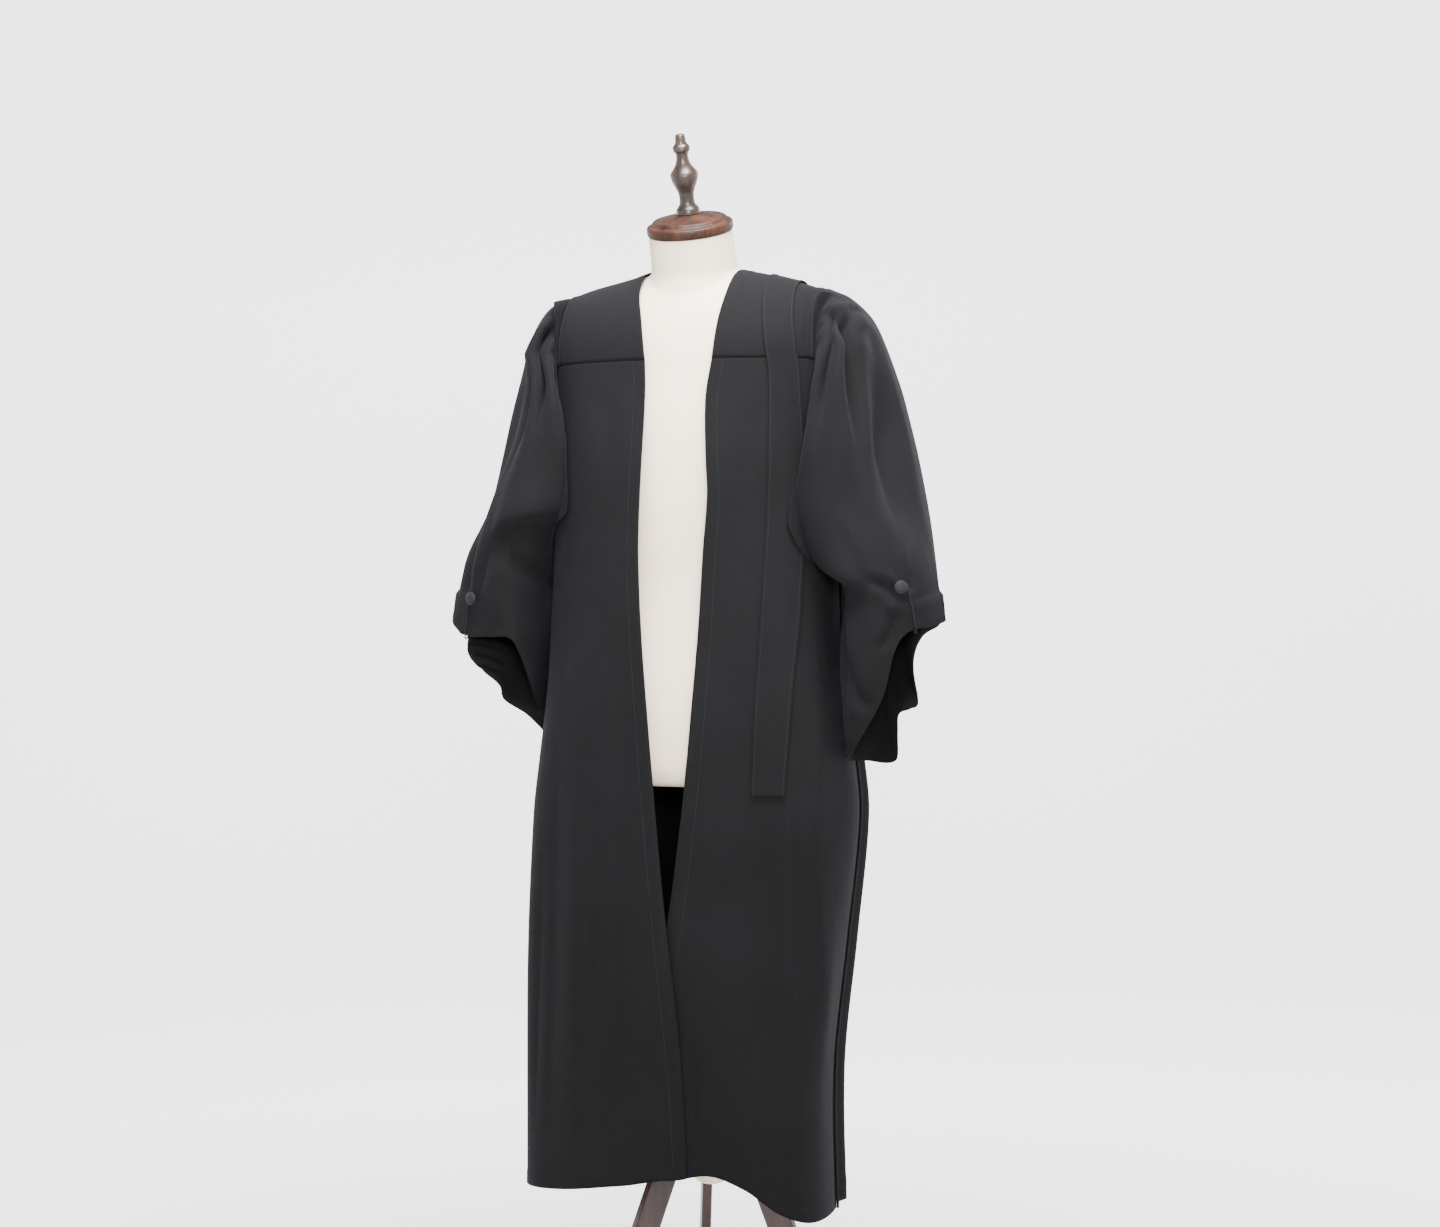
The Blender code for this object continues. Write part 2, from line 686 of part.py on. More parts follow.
def sleeve_normal(station, turn, lines, side):
    step = 0.02
    low, high = (station - step, station) if station > step else (station, station + step)
    down = sleeve_smooth(high, turn, lines, side) - sleeve_smooth(low, turn, lines, side)
    before = sleeve_smooth(station, turn - step, lines, side)
    return (sleeve_smooth(station, turn + step, lines, side) - before).cross(down).normalized()


def sleeve_point(station, turn, lines, side, out=0.0):
    """Outer face of a sleeve, with its folds, as if it were the wearer's left one."""
    point = sleeve_smooth(station, turn, lines, side)
    normal = sleeve_normal(station, turn, lines, side)
    start = min(station / 0.6, 1.0)
    face = -1 if point.y < 0 else 1
    push = fold_push(SLEEVE_FOLDS, face, point.x, point.z) * start * min(abs(point.y) / 0.03, 1.0)
    spread = 1 - min(min(turn, math.tau - turn) / GATHER_SPREAD, 1.0)
    head = max(0.0, 1 - station / GATHER_LONG) * min(station * 4, 1.0)
    push += GATHER_DEEP * head * min(spread * 3, 1.0) * math.cos(2 * GATHERS * turn)
    if point.y < 0:
        over = point.z - read(SWAG, "height", point.x)
        near = math.exp(-((over / SWAG_NEAR) ** 2)) * min(-point.y / 0.05, 1.0) * start
        push += SWAG_DEEP * near * math.tanh(over / SWAG_WIDE)
    return clear_of_body(point + normal * push, side) + normal * out


SLEEVE_DEGREES = (*range(0, 120, 6), *range(120, 252, 12), *range(252, 360, 9))
SLEEVE_TURNS = [math.radians(degrees) for degrees in SLEEVE_DEGREES]
SLEEVE_STATIONS = (0, 0.4, 1, 1.7, 2.5, 3.3, 4.1, 4.9, 5.7, 6.4, 7.0, 7.5, 8)


def mirrored(point, side):
    return Vector((point.x * side, point.y, point.z))


def build_sleeve(name, side, lines, finish, parent):
    rows = []
    for station in SLEEVE_STATIONS:
        row = [sleeve_point(station, turn, lines, side) for turn in SLEEVE_TURNS]
        rows.append([mirrored(point, side) for point in row])
    return cloth(name, [rows], (0.25 * side, 0, 1.2), finish, parent, ring=True)


def build_button(name, side, lines, finish, parent):
    """A covered button on its shank, on the outside of the sleeve over the hem."""
    place = sleeve_point(BUTTON_STATION, BUTTON_TURN, lines, side, BUTTON_LIFT)
    normal = sleeve_normal(BUTTON_STATION, BUTTON_TURN, lines, side)
    turn = mirrored(normal, side).to_track_quat("Z", "Y").to_euler()
    return turned(name, BUTTON, 12, finish, parent, mirrored(place, side), turn)


def build_cord(name, side, lines, finish, parent):
    """The cord that draws the hem up: from the button down over the hem's edge."""
    off = CORD_RADIUS + CORD_LIFT
    stations = spaced(7, BUTTON_STATION, HEM_STATION)
    points = [sleeve_point(station, CORD_TURN, lines, side, off) for station in stations]
    down = (points[-1] - points[-2]).normalized()
    normal = sleeve_normal(HEM_STATION, CORD_TURN, lines, side)
    reach = off + WALL / 2
    edge = points[-1] - normal * reach
    for angle in spaced(5, 0, math.pi)[1:]:
        points.append(edge + normal * reach * math.cos(angle) + down * reach * math.sin(angle))
    points.append(points[-1] - down * CORD_END)
    curve = bpy.data.curves.new(name, "CURVE")
    curve.dimensions = "3D"
    curve.bevel_depth = CORD_RADIUS
    curve.bevel_resolution = 1
    curve.use_fill_caps = True
    spline = curve.splines.new("POLY")
    spline.points.add(len(points) - 1)
    for spot, point in zip(spline.points, points):
        spot.co = (*mirrored(point, side), 1)
    curve.materials.append(finish)
    thing = bpy.data.objects.new(name, curve)
    bpy.context.collection.objects.link(thing)
    thing.parent = parent
    return thing


def strip_row(height, turn=None):
    """One line across the strip: over the shoulder where a turn is given, else down the front."""
    row = []
    for t in spaced(STRIP_ACROSS, -1, 1):
        x = read(STRIP, "middle", height) + t * read(STRIP, "half", height)
        if turn is None:
            row.append(body_point(angle_at(x, height), height, STRIP_WALL + STRIP_LIFT))
        else:
            row.append(over_shoulder(x, turn, STRIP_WALL + STRIP_LIFT))
    return row


def build_strip(finish, parent):
    """The long strip that hangs over the wearer's left shoulder."""
    rows = [strip_row(height) for height in spaced(13, STRIP_END, FRONT_YOKE_HEIGHT)]
    for turn in spaced(9, 0, STRIP_TURN)[1:]:
        rows.append(strip_row(over_shoulder(STRIP_RIDGE, turn).z, turn))
    return cloth("strip", [rows], (0, 0, 1.2), finish, parent, wall=STRIP_WALL)


def build_hood(finish, parent):
    """The pouch behind the wearer's left shoulder: its cloth curves out and back to its edge."""
    rows = []
    for down in spaced(11):
        row = []
        for t in spaced(9, -1, 1):
            x = read(HOOD, "middle", down) + t * read(HOOD, "half", down)
            out = read(HOOD, "out", down)
            out += HOOD_BULGE * (1 - t * t) * math.sin(math.pi * down) ** 0.8
            if down < HOOD_SHARE:
                turn = mixed(STRIP_TURN + HOOD_START, math.pi, down / HOOD_SHARE)
                row.append(over_shoulder(x, turn, out))
            else:
                height = mixed(BACK_YOKE_HEIGHT, HOOD_LOW, (down - HOOD_SHARE) / (1 - HOOD_SHARE))
                row.append(body_point(math.pi - angle_at(x, height, False), height, out))
        rows.append(row)
    return cloth("hood", [rows], (0, 0, 1.2), finish, parent)


# Dress form and stand


def turned(name, profile, sides, finish, parent, place=(0, 0, 0), turn=(0, 0, 0)):
    """A turned piece: a profile of heights and radii, closed flat at both ends."""
    angles = [math.tau * k / sides for k in range(sides)]
    rows = []
    for height, radius in zip(profile["height"], profile["radius"]):
        rows.append([(radius * math.cos(a), radius * math.sin(a), height) for a in angles])
    return add_object(name, closed_rings(name, rows), finish, parent, place, turn)


def form_plan(angle, half, front, back):
    power = 2 / FORM_SQUARENESS
    depth = -front if math.cos(angle) >= 0 else back
    x = half * math.copysign(abs(math.sin(angle)) ** power, math.sin(angle))
    return x, depth * abs(math.cos(angle)) ** power


def form_top(x, y):
    """Height of the form's shoulders, which carry the yoke."""
    half, front, back = (read(FORM, name, FORM_CHEST) for name in ("half", "front", "back"))
    share = max(1 - (abs(x) / half) ** FORM_SQUARENESS, 0) ** (1 / FORM_SQUARENESS)
    depth = max((front if y < 0 else back) * share, SMALL)
    ridge = RIDGE_HEIGHT - RIDGE_FALL * math.sqrt(x * x + RIDGE_ROUND**2) - WALL - SEAT
    arch = math.sqrt(max(1 - (y / depth) ** 2, 0))
    end = math.sqrt(max(1 - (abs(x) / half) ** SHOULDER_END, 0))
    return FORM_CHEST + (ridge - FORM_CHEST) * arch * end


def shoulder_row(angles, share):
    """A ring of the form's top, at a share of the way from the neck out to the chest."""
    sizes = [read(FORM, name, FORM_CHEST) for name in ("half", "front", "back")]
    foot_x, foot_y, _ = NECK_FOOT
    radius = NECK_RINGS["radius"][0]
    row = []
    for a in angles:
        x, y = form_plan(a, *sizes)
        x = mixed(foot_x + radius * math.sin(a), x, share)
        y = mixed(foot_y - radius * math.cos(a), y, share)
        row.append((x, y, form_top(x, y) if share < 1 else FORM_CHEST))
    return row


def neck_row(angles, along_it, radius, lean):
    """A ring of the leaning neck, the lowest one on the shoulders."""
    row = []
    for a in angles:
        x, y = radius * math.sin(a), -radius * math.cos(a)
        leaning = Vector((x, y * math.cos(NECK_LEAN), y * math.sin(NECK_LEAN)))
        spot = Vector(NECK_FOOT) + NECK_AXIS * along_it + Vector((x, y, 0)).lerp(leaning, lean)
        if along_it == 0:
            spot.z = form_top(spot.x, spot.y)
        row.append(spot)
    return row


def build_torso(finish, parent):
    angles = [math.tau * k / FORM_SIDES for k in range(FORM_SIDES)]
    rows = []
    for height in TORSO_HEIGHTS:
        sizes = [read(FORM, name, height) for name in ("half", "front", "back")]
        rows.append([(*form_plan(a, *sizes), height) for a in angles])
    rows += [shoulder_row(angles, share) for share in SHOULDER_SHARES]
    rows += [neck_row(angles, *ring) for ring in zip(*NECK_RINGS.values())]
    return add_object("torso", closed_rings("torso", rows), finish, parent)


def build_neck_top(wood, parent):
    """The turned cap and its finial, on the leaning neck."""
    lean = (NECK_LEAN, 0, 0)
    seat = Vector(NECK_FOOT) + NECK_AXIS * (NECK_RINGS["along"][-1] + FACE_GAP)
    turned("neck_cap", CAP, 32, wood, parent, seat, lean)
    foot = seat + NECK_AXIS * (max(CAP["height"]) + FACE_GAP)
    turned("finial", FINIAL, 16, wood, parent, foot, lean)


def leg_outline():
    """A leg seen from its side, in distance from the stand's axis and height."""
    half = LEG_WIDE / 2 * math.hypot(1, LEG_SLOPE)
    face = max(HUB["radius"]) + FACE_GAP

    def line(height, off):
        return LEG_AT_RADIUS + (LEG_AT_HEIGHT - height) * LEG_SLOPE + off

    meets = LEG_AT_HEIGHT - (face + half - LEG_AT_RADIUS) / LEG_SLOPE
    return [
        (line(0, -half), 0),
        (line(0, half), 0),
        (line(LEG_TOP, half), LEG_TOP),
        (face, LEG_TOP),
        (face, meets),
    ]


def build_leg(number, finish, parent):
    bm = bmesh.new()
    outline = leg_outline()
    faces = [
        [bm.verts.new((radius, y, height)) for radius, height in outline]
        for y in (-LEG_THICK / 2, LEG_THICK / 2)
    ]
    for n in range(len(outline)):
        m = (n + 1) % len(outline)
        bm.faces.new((faces[0][n], faces[0][m], faces[1][m], faces[1][n]))
    bm.faces.new(faces[0][::-1])
    bm.faces.new(faces[1])
    bmesh.ops.recalc_face_normals(bm, faces=bm.faces)
    name = f"leg_{number}"
    turn = LEG_FIRST + (number - 1) * math.tau / LEGS - math.pi / 2
    leg = add_object(name, finished(name, bm), finish, parent, (STAND_X, STAND_Y, 0), (0, 0, turn))
    rounded = leg.modifiers.new("rounded edges", "BEVEL")
    rounded.width = LEG_ROUND
    rounded.segments = 2
    rounded.limit_method = "ANGLE"


def build_stand(wood, pale, parent):
    turned("hub", HUB, 24, pale, parent, (STAND_X, STAND_Y, 0))
    low, high = max(HUB["height"]) + FACE_GAP, min(FORM["height"]) - FACE_GAP
    pole = columns(
        "height radius",
        (low, POLE_RADIUS),
        (high - FLANGE_THICK - FLANGE_ROUND, POLE_RADIUS),
        (high - FLANGE_THICK, FLANGE_RADIUS),
        (high, FLANGE_RADIUS),
    )
    turned("pole", pole, 20, wood, parent, (STAND_X, STAND_Y, 0))
    for number in range(1, LEGS + 1):
        build_leg(number, wood, parent)


def main():
    for thing in list(bpy.data.objects):
        bpy.data.objects.remove(thing, do_unlink=True)
    stand = bpy.data.objects.new("barrister_robe", None)
    bpy.context.collection.objects.link(stand)
    stand.location = (-MIDDLE_X, -MIDDLE_Y, 0)
    robe = material("robe cloth", (0.035, 0.035, 0.04), 0.85)
    build_yoke(robe, stand)
    build_front("front_right", -1, robe, stand)
    build_front("front_left", 1, robe, stand)
    build_back(robe, stand)
    build_strip(robe, stand)
    build_hood(robe, stand)
    lines = {front: armhole_line(front) for front in (True, False)}
    for name, side in (("right", -1), ("left", 1)):
        build_sleeve(f"sleeve_{name}", side, lines, robe, stand)
        build_button(f"button_{name}", side, lines, robe, stand)
        build_cord(f"cord_{name}", side, lines, robe, stand)
    linen = material("form cloth", (0.80, 0.74, 0.64), 0.9)
    walnut = material("dark turned wood", (0.10, 0.04, 0.02), 0.25)
    reddish = material("stained leg wood", (0.11, 0.04, 0.035), 0.45)
    pale = material("pale hub wood", (0.50, 0.40, 0.29), 0.5)
    build_torso(linen, stand)
    build_neck_top(walnut, stand)
    build_stand(reddish, pale, stand)


main()
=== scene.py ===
# %% [markdown]
# # A barrister's robe on a dress form
# This script dresses the measured model of a black court robe, its dress form and its wooden
# stand. The measured model loads first as a fixed frame, and every piece made here sits in its
# place. The robe is cloth, so most of the work is thin shells with soft folds.

# %% Load the frame
import math

import bmesh
import bpy
import numpy as np
from mathutils import Matrix, Vector


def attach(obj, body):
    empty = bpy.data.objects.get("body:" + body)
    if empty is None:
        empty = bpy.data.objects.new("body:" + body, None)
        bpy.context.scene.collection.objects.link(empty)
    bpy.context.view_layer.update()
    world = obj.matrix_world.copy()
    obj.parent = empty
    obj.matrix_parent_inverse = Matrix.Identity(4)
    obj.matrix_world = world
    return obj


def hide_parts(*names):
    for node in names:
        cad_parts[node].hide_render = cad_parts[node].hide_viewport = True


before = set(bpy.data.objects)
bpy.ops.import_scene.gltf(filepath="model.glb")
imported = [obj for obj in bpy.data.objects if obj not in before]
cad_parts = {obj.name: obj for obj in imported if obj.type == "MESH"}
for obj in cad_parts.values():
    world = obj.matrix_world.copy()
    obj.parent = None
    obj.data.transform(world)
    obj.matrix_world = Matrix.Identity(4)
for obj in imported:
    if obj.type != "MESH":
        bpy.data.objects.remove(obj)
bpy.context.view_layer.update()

# %% [markdown]
# ## Tables that can be read at any height
# A garment's form changes smoothly from shoulder to hem. A short table of a few heights is easy
# to measure and to change, and a curve through its rows gives every height between them. Whole
# grids of points are read at once as arrays, which keeps the script quick.

# %% Short tables and how they are read
MIDDLE = np.array([-0.0055, 0.0596, 0.0])


def columns(names, text):
    """A short table from rows of text. Columns marked _mm are written in millimetres."""
    values = np.array([row.split() for row in text.split(",")], float).T
    return {
        name.removesuffix("_mm"): value / 1000 if name.endswith("_mm") else value
        for name, value in zip(names.split(), values)
    }


def profile(text):
    """Heights and radii of a turned piece, written as pairs in millimetres."""
    return np.array([pair.split() for pair in text.split(",")], float) / 1000


def placed(name, data):
    """An object at the origin that shows a mesh, a light or a camera."""
    thing = bpy.data.objects.new(name, data)
    bpy.context.collection.objects.link(thing)
    return thing


def table_rows(table):
    return [dict(zip(table, values)) for values in zip(*table.values())]


def read(table, column, at):
    """A column's values at an array of places, smooth between the rows and flat past the ends."""
    keys, values = list(table.values())[0], table[column]
    number = np.arange(len(keys))
    low, high = np.maximum(number - 1, 0), np.minimum(number + 1, len(keys) - 1)
    slope = (values[high] - values[low]) / (keys[high] - keys[low])
    at = np.clip(np.asarray(at, float), keys[0], keys[-1])
    i = np.clip(np.searchsorted(keys, at, side="right") - 1, 0, len(keys) - 2)
    span = keys[i + 1] - keys[i]
    t = (at - keys[i]) / span
    return (
        (1 + 2 * t) * (1 - t) ** 2 * values[i]
        + t * (1 - t) ** 2 * span * slope[i]
        + t * t * (3 - 2 * t) * values[i + 1]
        + t * t * (t - 1) * span * slope[i + 1]
    )


def mixed(a, b, t):
    return a + (b - a) * t


def eased(low, high, at):
    t = np.clip((at - low) / (high - low), 0, 1)
    return t * t * (3 - 2 * t)


def power_of(value, power):
    return np.sign(value) * np.abs(value) ** power


# %% [markdown]
# ## The body of the robe
# Below the yoke the robe is a tube whose plan is a rounded rectangle in front and an oval behind.
# The tables give its half width on each side, its depth, and how square its corners are.

# %% Sizes of the body
FRONT_YOKE_HEIGHT, BACK_YOKE_HEIGHT = 1.432, 1.400
UNDERARM_HEIGHT = 1.225
SEAM_GAP = 0.0003
BODY = columns("height_mm right_mm left_mm front_mm back_mm square", """
    280 237 193 131 186 3, 480 236 191 130 180 3, 650 234 209 130 174 3, 820 227 227 131 166 2.9,
    900 219 221 131 160 2.8, 1000 208 206 131 152 2.7, 1100 203 200 131 140 2.6,
    1200 200 199 131 134 2.5, 1300 200 200 129 126 2.5, 1440 200 200 118 112 2.5
""")
BACK_SQUARE = 2.3
EDGES = columns("height_mm right_mm left_mm", """
    337 25 -48, 465 17 -36, 570 6 -18, 688 -7 3, 807 -18 20, 926 -28 32, 1060 -38 43, 1165 -42 49,
    1243 -40 54, 1285 -38 52, 1376 -35 49.5, 1432 -37 56.5, 1488 -46 62, 1530 -58 66, 1600 -70 66
""")
HEM = columns("angle height_mm", """
    -180 300, -90 311, -40 317, -8 332, 8 352, 22 338, 42 304, 66 288, 110 294, 180 300
""")
SIDE_NAMES = {1: "left", -1: "right"}


def side_of(side, height):
    return np.where(side >= 0, read(BODY, "left", height), read(BODY, "right", height))


def square_of(height, front):
    return np.where(front, read(BODY, "square", height), BACK_SQUARE)


def depth_of(height, front):
    return np.where(front, read(BODY, "front", height), read(BODY, "back", height))


def angle_at(x, height, front=True):
    """The angle, from the nearer middle line, at which the body's plan reaches x."""
    share = np.minimum(np.abs(x) / side_of(x, height), 1.0)
    return np.copysign(np.arcsin(share ** (square_of(height, front) / 2)), x)


# %% [markdown]
# ## Folds and creases
# Cloth that hangs has troughs and ridges, each of its own length and depth. Here a crease is a
# bent line through three points, seen from the front. It is deepest along the line, fades at its
# ends, and has a low lip on each side, as a real fold pushes the cloth up beside it.

# %% Crease helper
LIP, LIP_PLACE, LIP_WIDE = 0.22, 2.2, 1.2
CREASE_NAMES = "face x1_mm z1_mm x2_mm z2_mm x3_mm z3_mm width_mm depth_mm skew open"


def nearest_on(line, places):
    """For each place, how far it is from a bent line, its share along it, and on which side."""
    start, step = line[:-1], np.diff(line, axis=0)
    away = places[:, None] - start
    t = np.clip((away * step).sum(-1) / (step * step).sum(-1), 0, 1)
    away = away - t[..., None] * step
    distance = np.hypot(away[..., 0], away[..., 1])
    at, pick = distance.argmin(axis=1), np.arange(len(places))
    side = np.sign(away[pick, at, 0] * step[at, 1] - away[pick, at, 1] * step[at, 0])
    return distance[pick, at], (at + t[pick, at]) / len(step), side


def crease_push(creases, face, x, z):
    """How far the creases of one face move a surface in or out."""
    push, t = np.zeros(np.shape(x)), np.linspace(0, 1, 25)
    first, middle, last = (2 * t - 1) * (t - 1), 4 * t * (1 - t), t * (2 * t - 1)
    for row in table_rows(creases):
        bends = [row[k + "1"] * first + row[k + "2"] * middle + row[k + "3"] * last for k in "xz"]
        line = np.stack(bends, -1)
        reach = 4 * row["width"]
        low, high = line.min(axis=0) - reach, line.max(axis=0) + reach
        near = (x > low[0]) & (x < high[0]) & (z > low[1]) & (z < high[1])
        if row["face"] != face or not near.any():
            continue
        distance, along, side = nearest_on(line, np.stack([x[near], z[near]], -1))
        d = distance / (row["width"] * (1 + row["skew"] * side))
        fade = np.clip(along / 0.3 + row["open"], 0, 1) * np.clip((1 - along) / 0.5, 0, 1)
        trough = np.exp(-(np.abs(d) ** 1.5)) - LIP * np.exp(-((d - LIP_PLACE) ** 2) / LIP_WIDE)
        push[near] -= row["depth"] * fade * fade * (3 - 2 * fade) * trough
    return push


BODY_CREASES = columns(CREASE_NAMES, """
    -1 178 1200 192 800 198 260 18 -7 0.2 0,
    -1 128 860 134 600 137 240 20 5.5 0 0,
    -1 152 1020 163 700 168 240 15 -4.5 0 0,
    -1 75 720 83 500 87 220 28 -4.5 0 0,
    -1 -165 980 -175 660 -183 220 20 5.5 0 0,
    -1 -120 860 -130 600 -140 220 24 -5.5 0 0,
    -1 -70 700 -78 500 -86 220 26 4.5 0 0,
    -1 -105 930 -111 680 -112 400 11 3 0.2 0,
    -1 170 860 172 640 170 420 9 4 -0.2 0,
    -1 100 1060 96 860 99 620 13 2.8 0 0,
    -1 -60 1100 -66 880 -60 660 14 2.2 0 0,
    -1 -150 1260 -156 1080 -158 900 10 3 0 0,
    -1 -192 800 -203 560 -206 340 9 3.5 0 0,
    -1 30 560 36 440 40 300 12 3 0 0,
    -1 -20 520 -18 420 -12 300 14 2.5 0 0,
    -1 118 1380 108 1310 104 1220 12 1.8 0 0,
    -1 -100 1400 -88 1330 -82 1220 14 1.8 0 0,
    -1 192 1000 194 890 194 760 9 -3.5 0 0
""")
CREASE_FADE = 0.30


def body_point(angle, height, out=0.0):
    """Outer face of the robe's body, moved outwards by out."""
    angle, height = np.broadcast_arrays(np.asarray(angle, float), np.asarray(height, float))
    front = np.cos(angle) >= 0
    square, side, depth = square_of(height, front), side_of(angle, height), depth_of(height, front)
    x = side * power_of(np.sin(angle), 2 / square)
    y = depth * np.abs(np.cos(angle)) ** (2 / square) * np.where(front, -1, 1)
    lean_x = power_of(x / side, square - 1) / side
    lean_y = power_of(y / depth, square - 1) / depth
    steep = np.hypot(lean_x, lean_y)
    out = out + crease_push(BODY_CREASES, -1, x, height) * eased(0.0, CREASE_FADE, np.cos(angle))
    return np.stack([x + out * lean_x / steep, y + out * lean_y / steep, height], -1)


print("front at chest height", body_point(0.0, 1.3).round(3))

# %% [markdown]
# ## The yoke over the shoulders
# The yoke is one piece from the seam across the chest, over the ridge of the shoulders, to the
# seam across the back. A turn from 0 to half a circle carries a point over the ridge.

# %% Shoulder form
RIDGE_HEIGHT, RIDGE_FALL, RIDGE_ROUND, SHOULDER_HALF = 1.581, 0.268, 0.020, 0.180
NECK_TURN = math.radians(122)
ARMHOLE_FRONT, ARMHOLE_BACK, SIDE_SEAM = (math.radians(a) for a in (64, 112, 92))
RIDGE = math.pi / 2
SMALL = 1e-4


def over_shoulder(x, turn, out=0.0):
    """Outer face of the yoke at x, from the front seam at turn 0 over the ridge to the back."""

    def face(x, turn):
        front = turn <= RIDGE
        seam = np.where(front, FRONT_YOKE_HEIGHT, BACK_YOKE_HEIGHT)
        square = square_of(seam, front)
        share = np.minimum(np.abs(x) / side_of(x, seam), 1.0)
        depth = depth_of(seam, front) * (1 - share**square) ** (1 / square)
        rise = RIDGE_HEIGHT - RIDGE_FALL * np.sqrt(x * x + RIDGE_ROUND**2) - seam
        return np.stack([x, -depth * np.cos(turn), seam + rise * np.sin(turn)], -1)

    x, turn = np.broadcast_arrays(np.asarray(x, float), np.asarray(turn, float))
    across = face(x + SMALL, turn) - face(x - SMALL, turn)
    onward = face(x, turn + SMALL) - face(x, turn - SMALL)
    normal = np.cross(across, onward)
    normal /= np.linalg.norm(normal, axis=-1, keepdims=True)
    return face(x, turn) + normal * np.asarray(out)[..., None]


def neck_edge(side, turn):
    """Where the yoke's inner edge lies: the front edge, the neck, then the middle of the back."""
    name = SIDE_NAMES[side]
    height = over_shoulder(0.05 * side, np.minimum(turn, RIDGE))[..., 2]
    t = np.clip((turn - RIDGE) / (NECK_TURN - RIDGE), 0, 1)
    behind = read(EDGES, name, 1.60) * np.sqrt(1 - t * t)
    return np.where(turn <= RIDGE, read(EDGES, name, height), behind)


def arm_edge(turn):
    """Where the yoke's outer edge lies at the armhole."""
    front = body_point(ARMHOLE_FRONT, FRONT_YOKE_HEIGHT)[..., 0]
    back = body_point(ARMHOLE_BACK, BACK_YOKE_HEIGHT)[..., 0]
    return mixed(np.where(turn < RIDGE, front, back), SHOULDER_HALF, np.sin(turn) ** 2)


print("shoulder point", over_shoulder(SHOULDER_HALF, RIDGE).round(3))

# %% [markdown]
# ## Cloth shells
# A panel of cloth is modelled as its outer face, which is a grid of points. Its wall comes from a
# Solidify modifier that thickens it inwards. Each point also gets its place on the flat cloth in
# metres as a UV map, so the weave keeps its size and follows the panel.

# %% Shell helper
CLOTH_THICK = 0.0012


def lengths_along(points, axis):
    """How far along the cloth each point lies, in metres."""
    steps = np.linalg.norm(np.diff(points, axis=axis), axis=-1)
    start = np.zeros_like(np.take(steps, [0], axis=axis))
    return np.concatenate([start, np.cumsum(steps, axis=axis)], axis=axis)


def shell(name, grids, inside, ring=False, thick=CLOTH_THICK):
    """A cloth piece from grids of its outer points, each an array of rows, columns and x y z."""
    points, faces, places = [], [], []
    for grid in grids:
        rows, wide = grid.shape[:2]
        number = np.arange(rows * wide).reshape(rows, wide) + len(points)
        right = np.roll(number, -1, axis=1) if ring else number[:, 1:]
        left = number if ring else number[:, :-1]
        quads = np.stack([left[:-1], left[1:], right[1:], right[:-1]], -1).reshape(-1, 4)
        faces += quads.tolist()
        u, v = lengths_along(grid, 1), lengths_along(grid, 0)
        middle = u[:, [wide // 2]]
        places += np.stack([u - middle, -v], -1).reshape(-1, 2).tolist()
        points += (grid - MIDDLE).reshape(-1, 3).tolist()
    corners = np.array(points)[np.array(faces)]
    normals = np.cross(corners[:, 2] - corners[:, 0], corners[:, 3] - corners[:, 1])
    away = corners.mean(axis=1) - (np.array(inside) - MIDDLE)
    if (normals * away).sum() < 0:
        faces = [face[::-1] for face in faces]
    mesh = bpy.data.meshes.new(name)
    mesh.from_pydata(points, [], faces)
    cloth_map = mesh.uv_layers.new(name="cloth")
    corner_points = np.empty(len(mesh.loops), int)
    mesh.loops.foreach_get("vertex_index", corner_points)
    cloth_map.data.foreach_set("uv", np.array(places)[corner_points].ravel())
    bm = bmesh.new()
    bm.from_mesh(mesh)
    bmesh.ops.remove_doubles(bm, verts=bm.verts, dist=1e-6)
    bm.to_mesh(mesh)
    bm.free()
    mesh.shade_smooth()
    piece = placed(name, mesh)
    wall = piece.modifiers.new("wall", "SOLIDIFY")
    wall.thickness, wall.offset, wall.use_even_offset = thick, -1, False
    wall.use_rim = True
    area = np.linalg.norm(normals, axis=-1).sum() / 2
    print(name, "cloth", round(float(area), 3), "square metres,", len(faces), "faces")
    return piece


# %% [markdown]
# ## Materials
# The robe is a matt black cloth of fine twill. It looks blue-grey where light skims its raised
# fibres, so the finish has a little sheen, and a slow change of tone keeps large panels from
# looking flat. The twill lines are a wave on the cloth's own map, at their real spacing. A wave
# texture of scale 1 has a band every 0.628 of its map, so the scale is that over the spacing.

# %% Node helper
def new_finish(name):
    finish = bpy.data.materials.new(name)
    finish.use_nodes = True
    return finish, finish.node_tree, finish.node_tree.nodes["Principled BSDF"]


def fill(node, *inputs, **values):
    """Sets a node's inputs by order or by name, or links them where the value is an output."""
    named = [(key.replace("_", " "), value) for key, value in values.items()]
    for key, value in list(enumerate(inputs)) + named:
        if isinstance(value, bpy.types.NodeSocket):
            node.id_data.links.new(value, node.inputs[key])
        else:
            node.inputs[key].default_value = value
    return node


def add(tree, kind, *inputs, **values):
    """A node with its properties set and its inputs filled."""
    node = tree.nodes.new(kind)
    for key in [key for key in values if hasattr(node, key) and key not in node.inputs]:
        setattr(node, key, values.pop(key))
    return fill(node, *inputs, **values)


def two_tones(tree, factor, dark, light, low=0.3, high=0.7):
    ramp = add(tree, "ShaderNodeValToRGB", Fac=factor)
    for stop, place, tone in zip(ramp.color_ramp.elements, (low, high), (dark, light)):
        stop.position, stop.color = place, (*tone, 1)
    return ramp.outputs["Color"]


# %% Robe cloth
BAND_SPACING, FIBRE_SCALE, TONE_SCALE, FIBRE_SHARE = 0.628, 700.0, 5.0, 0.35


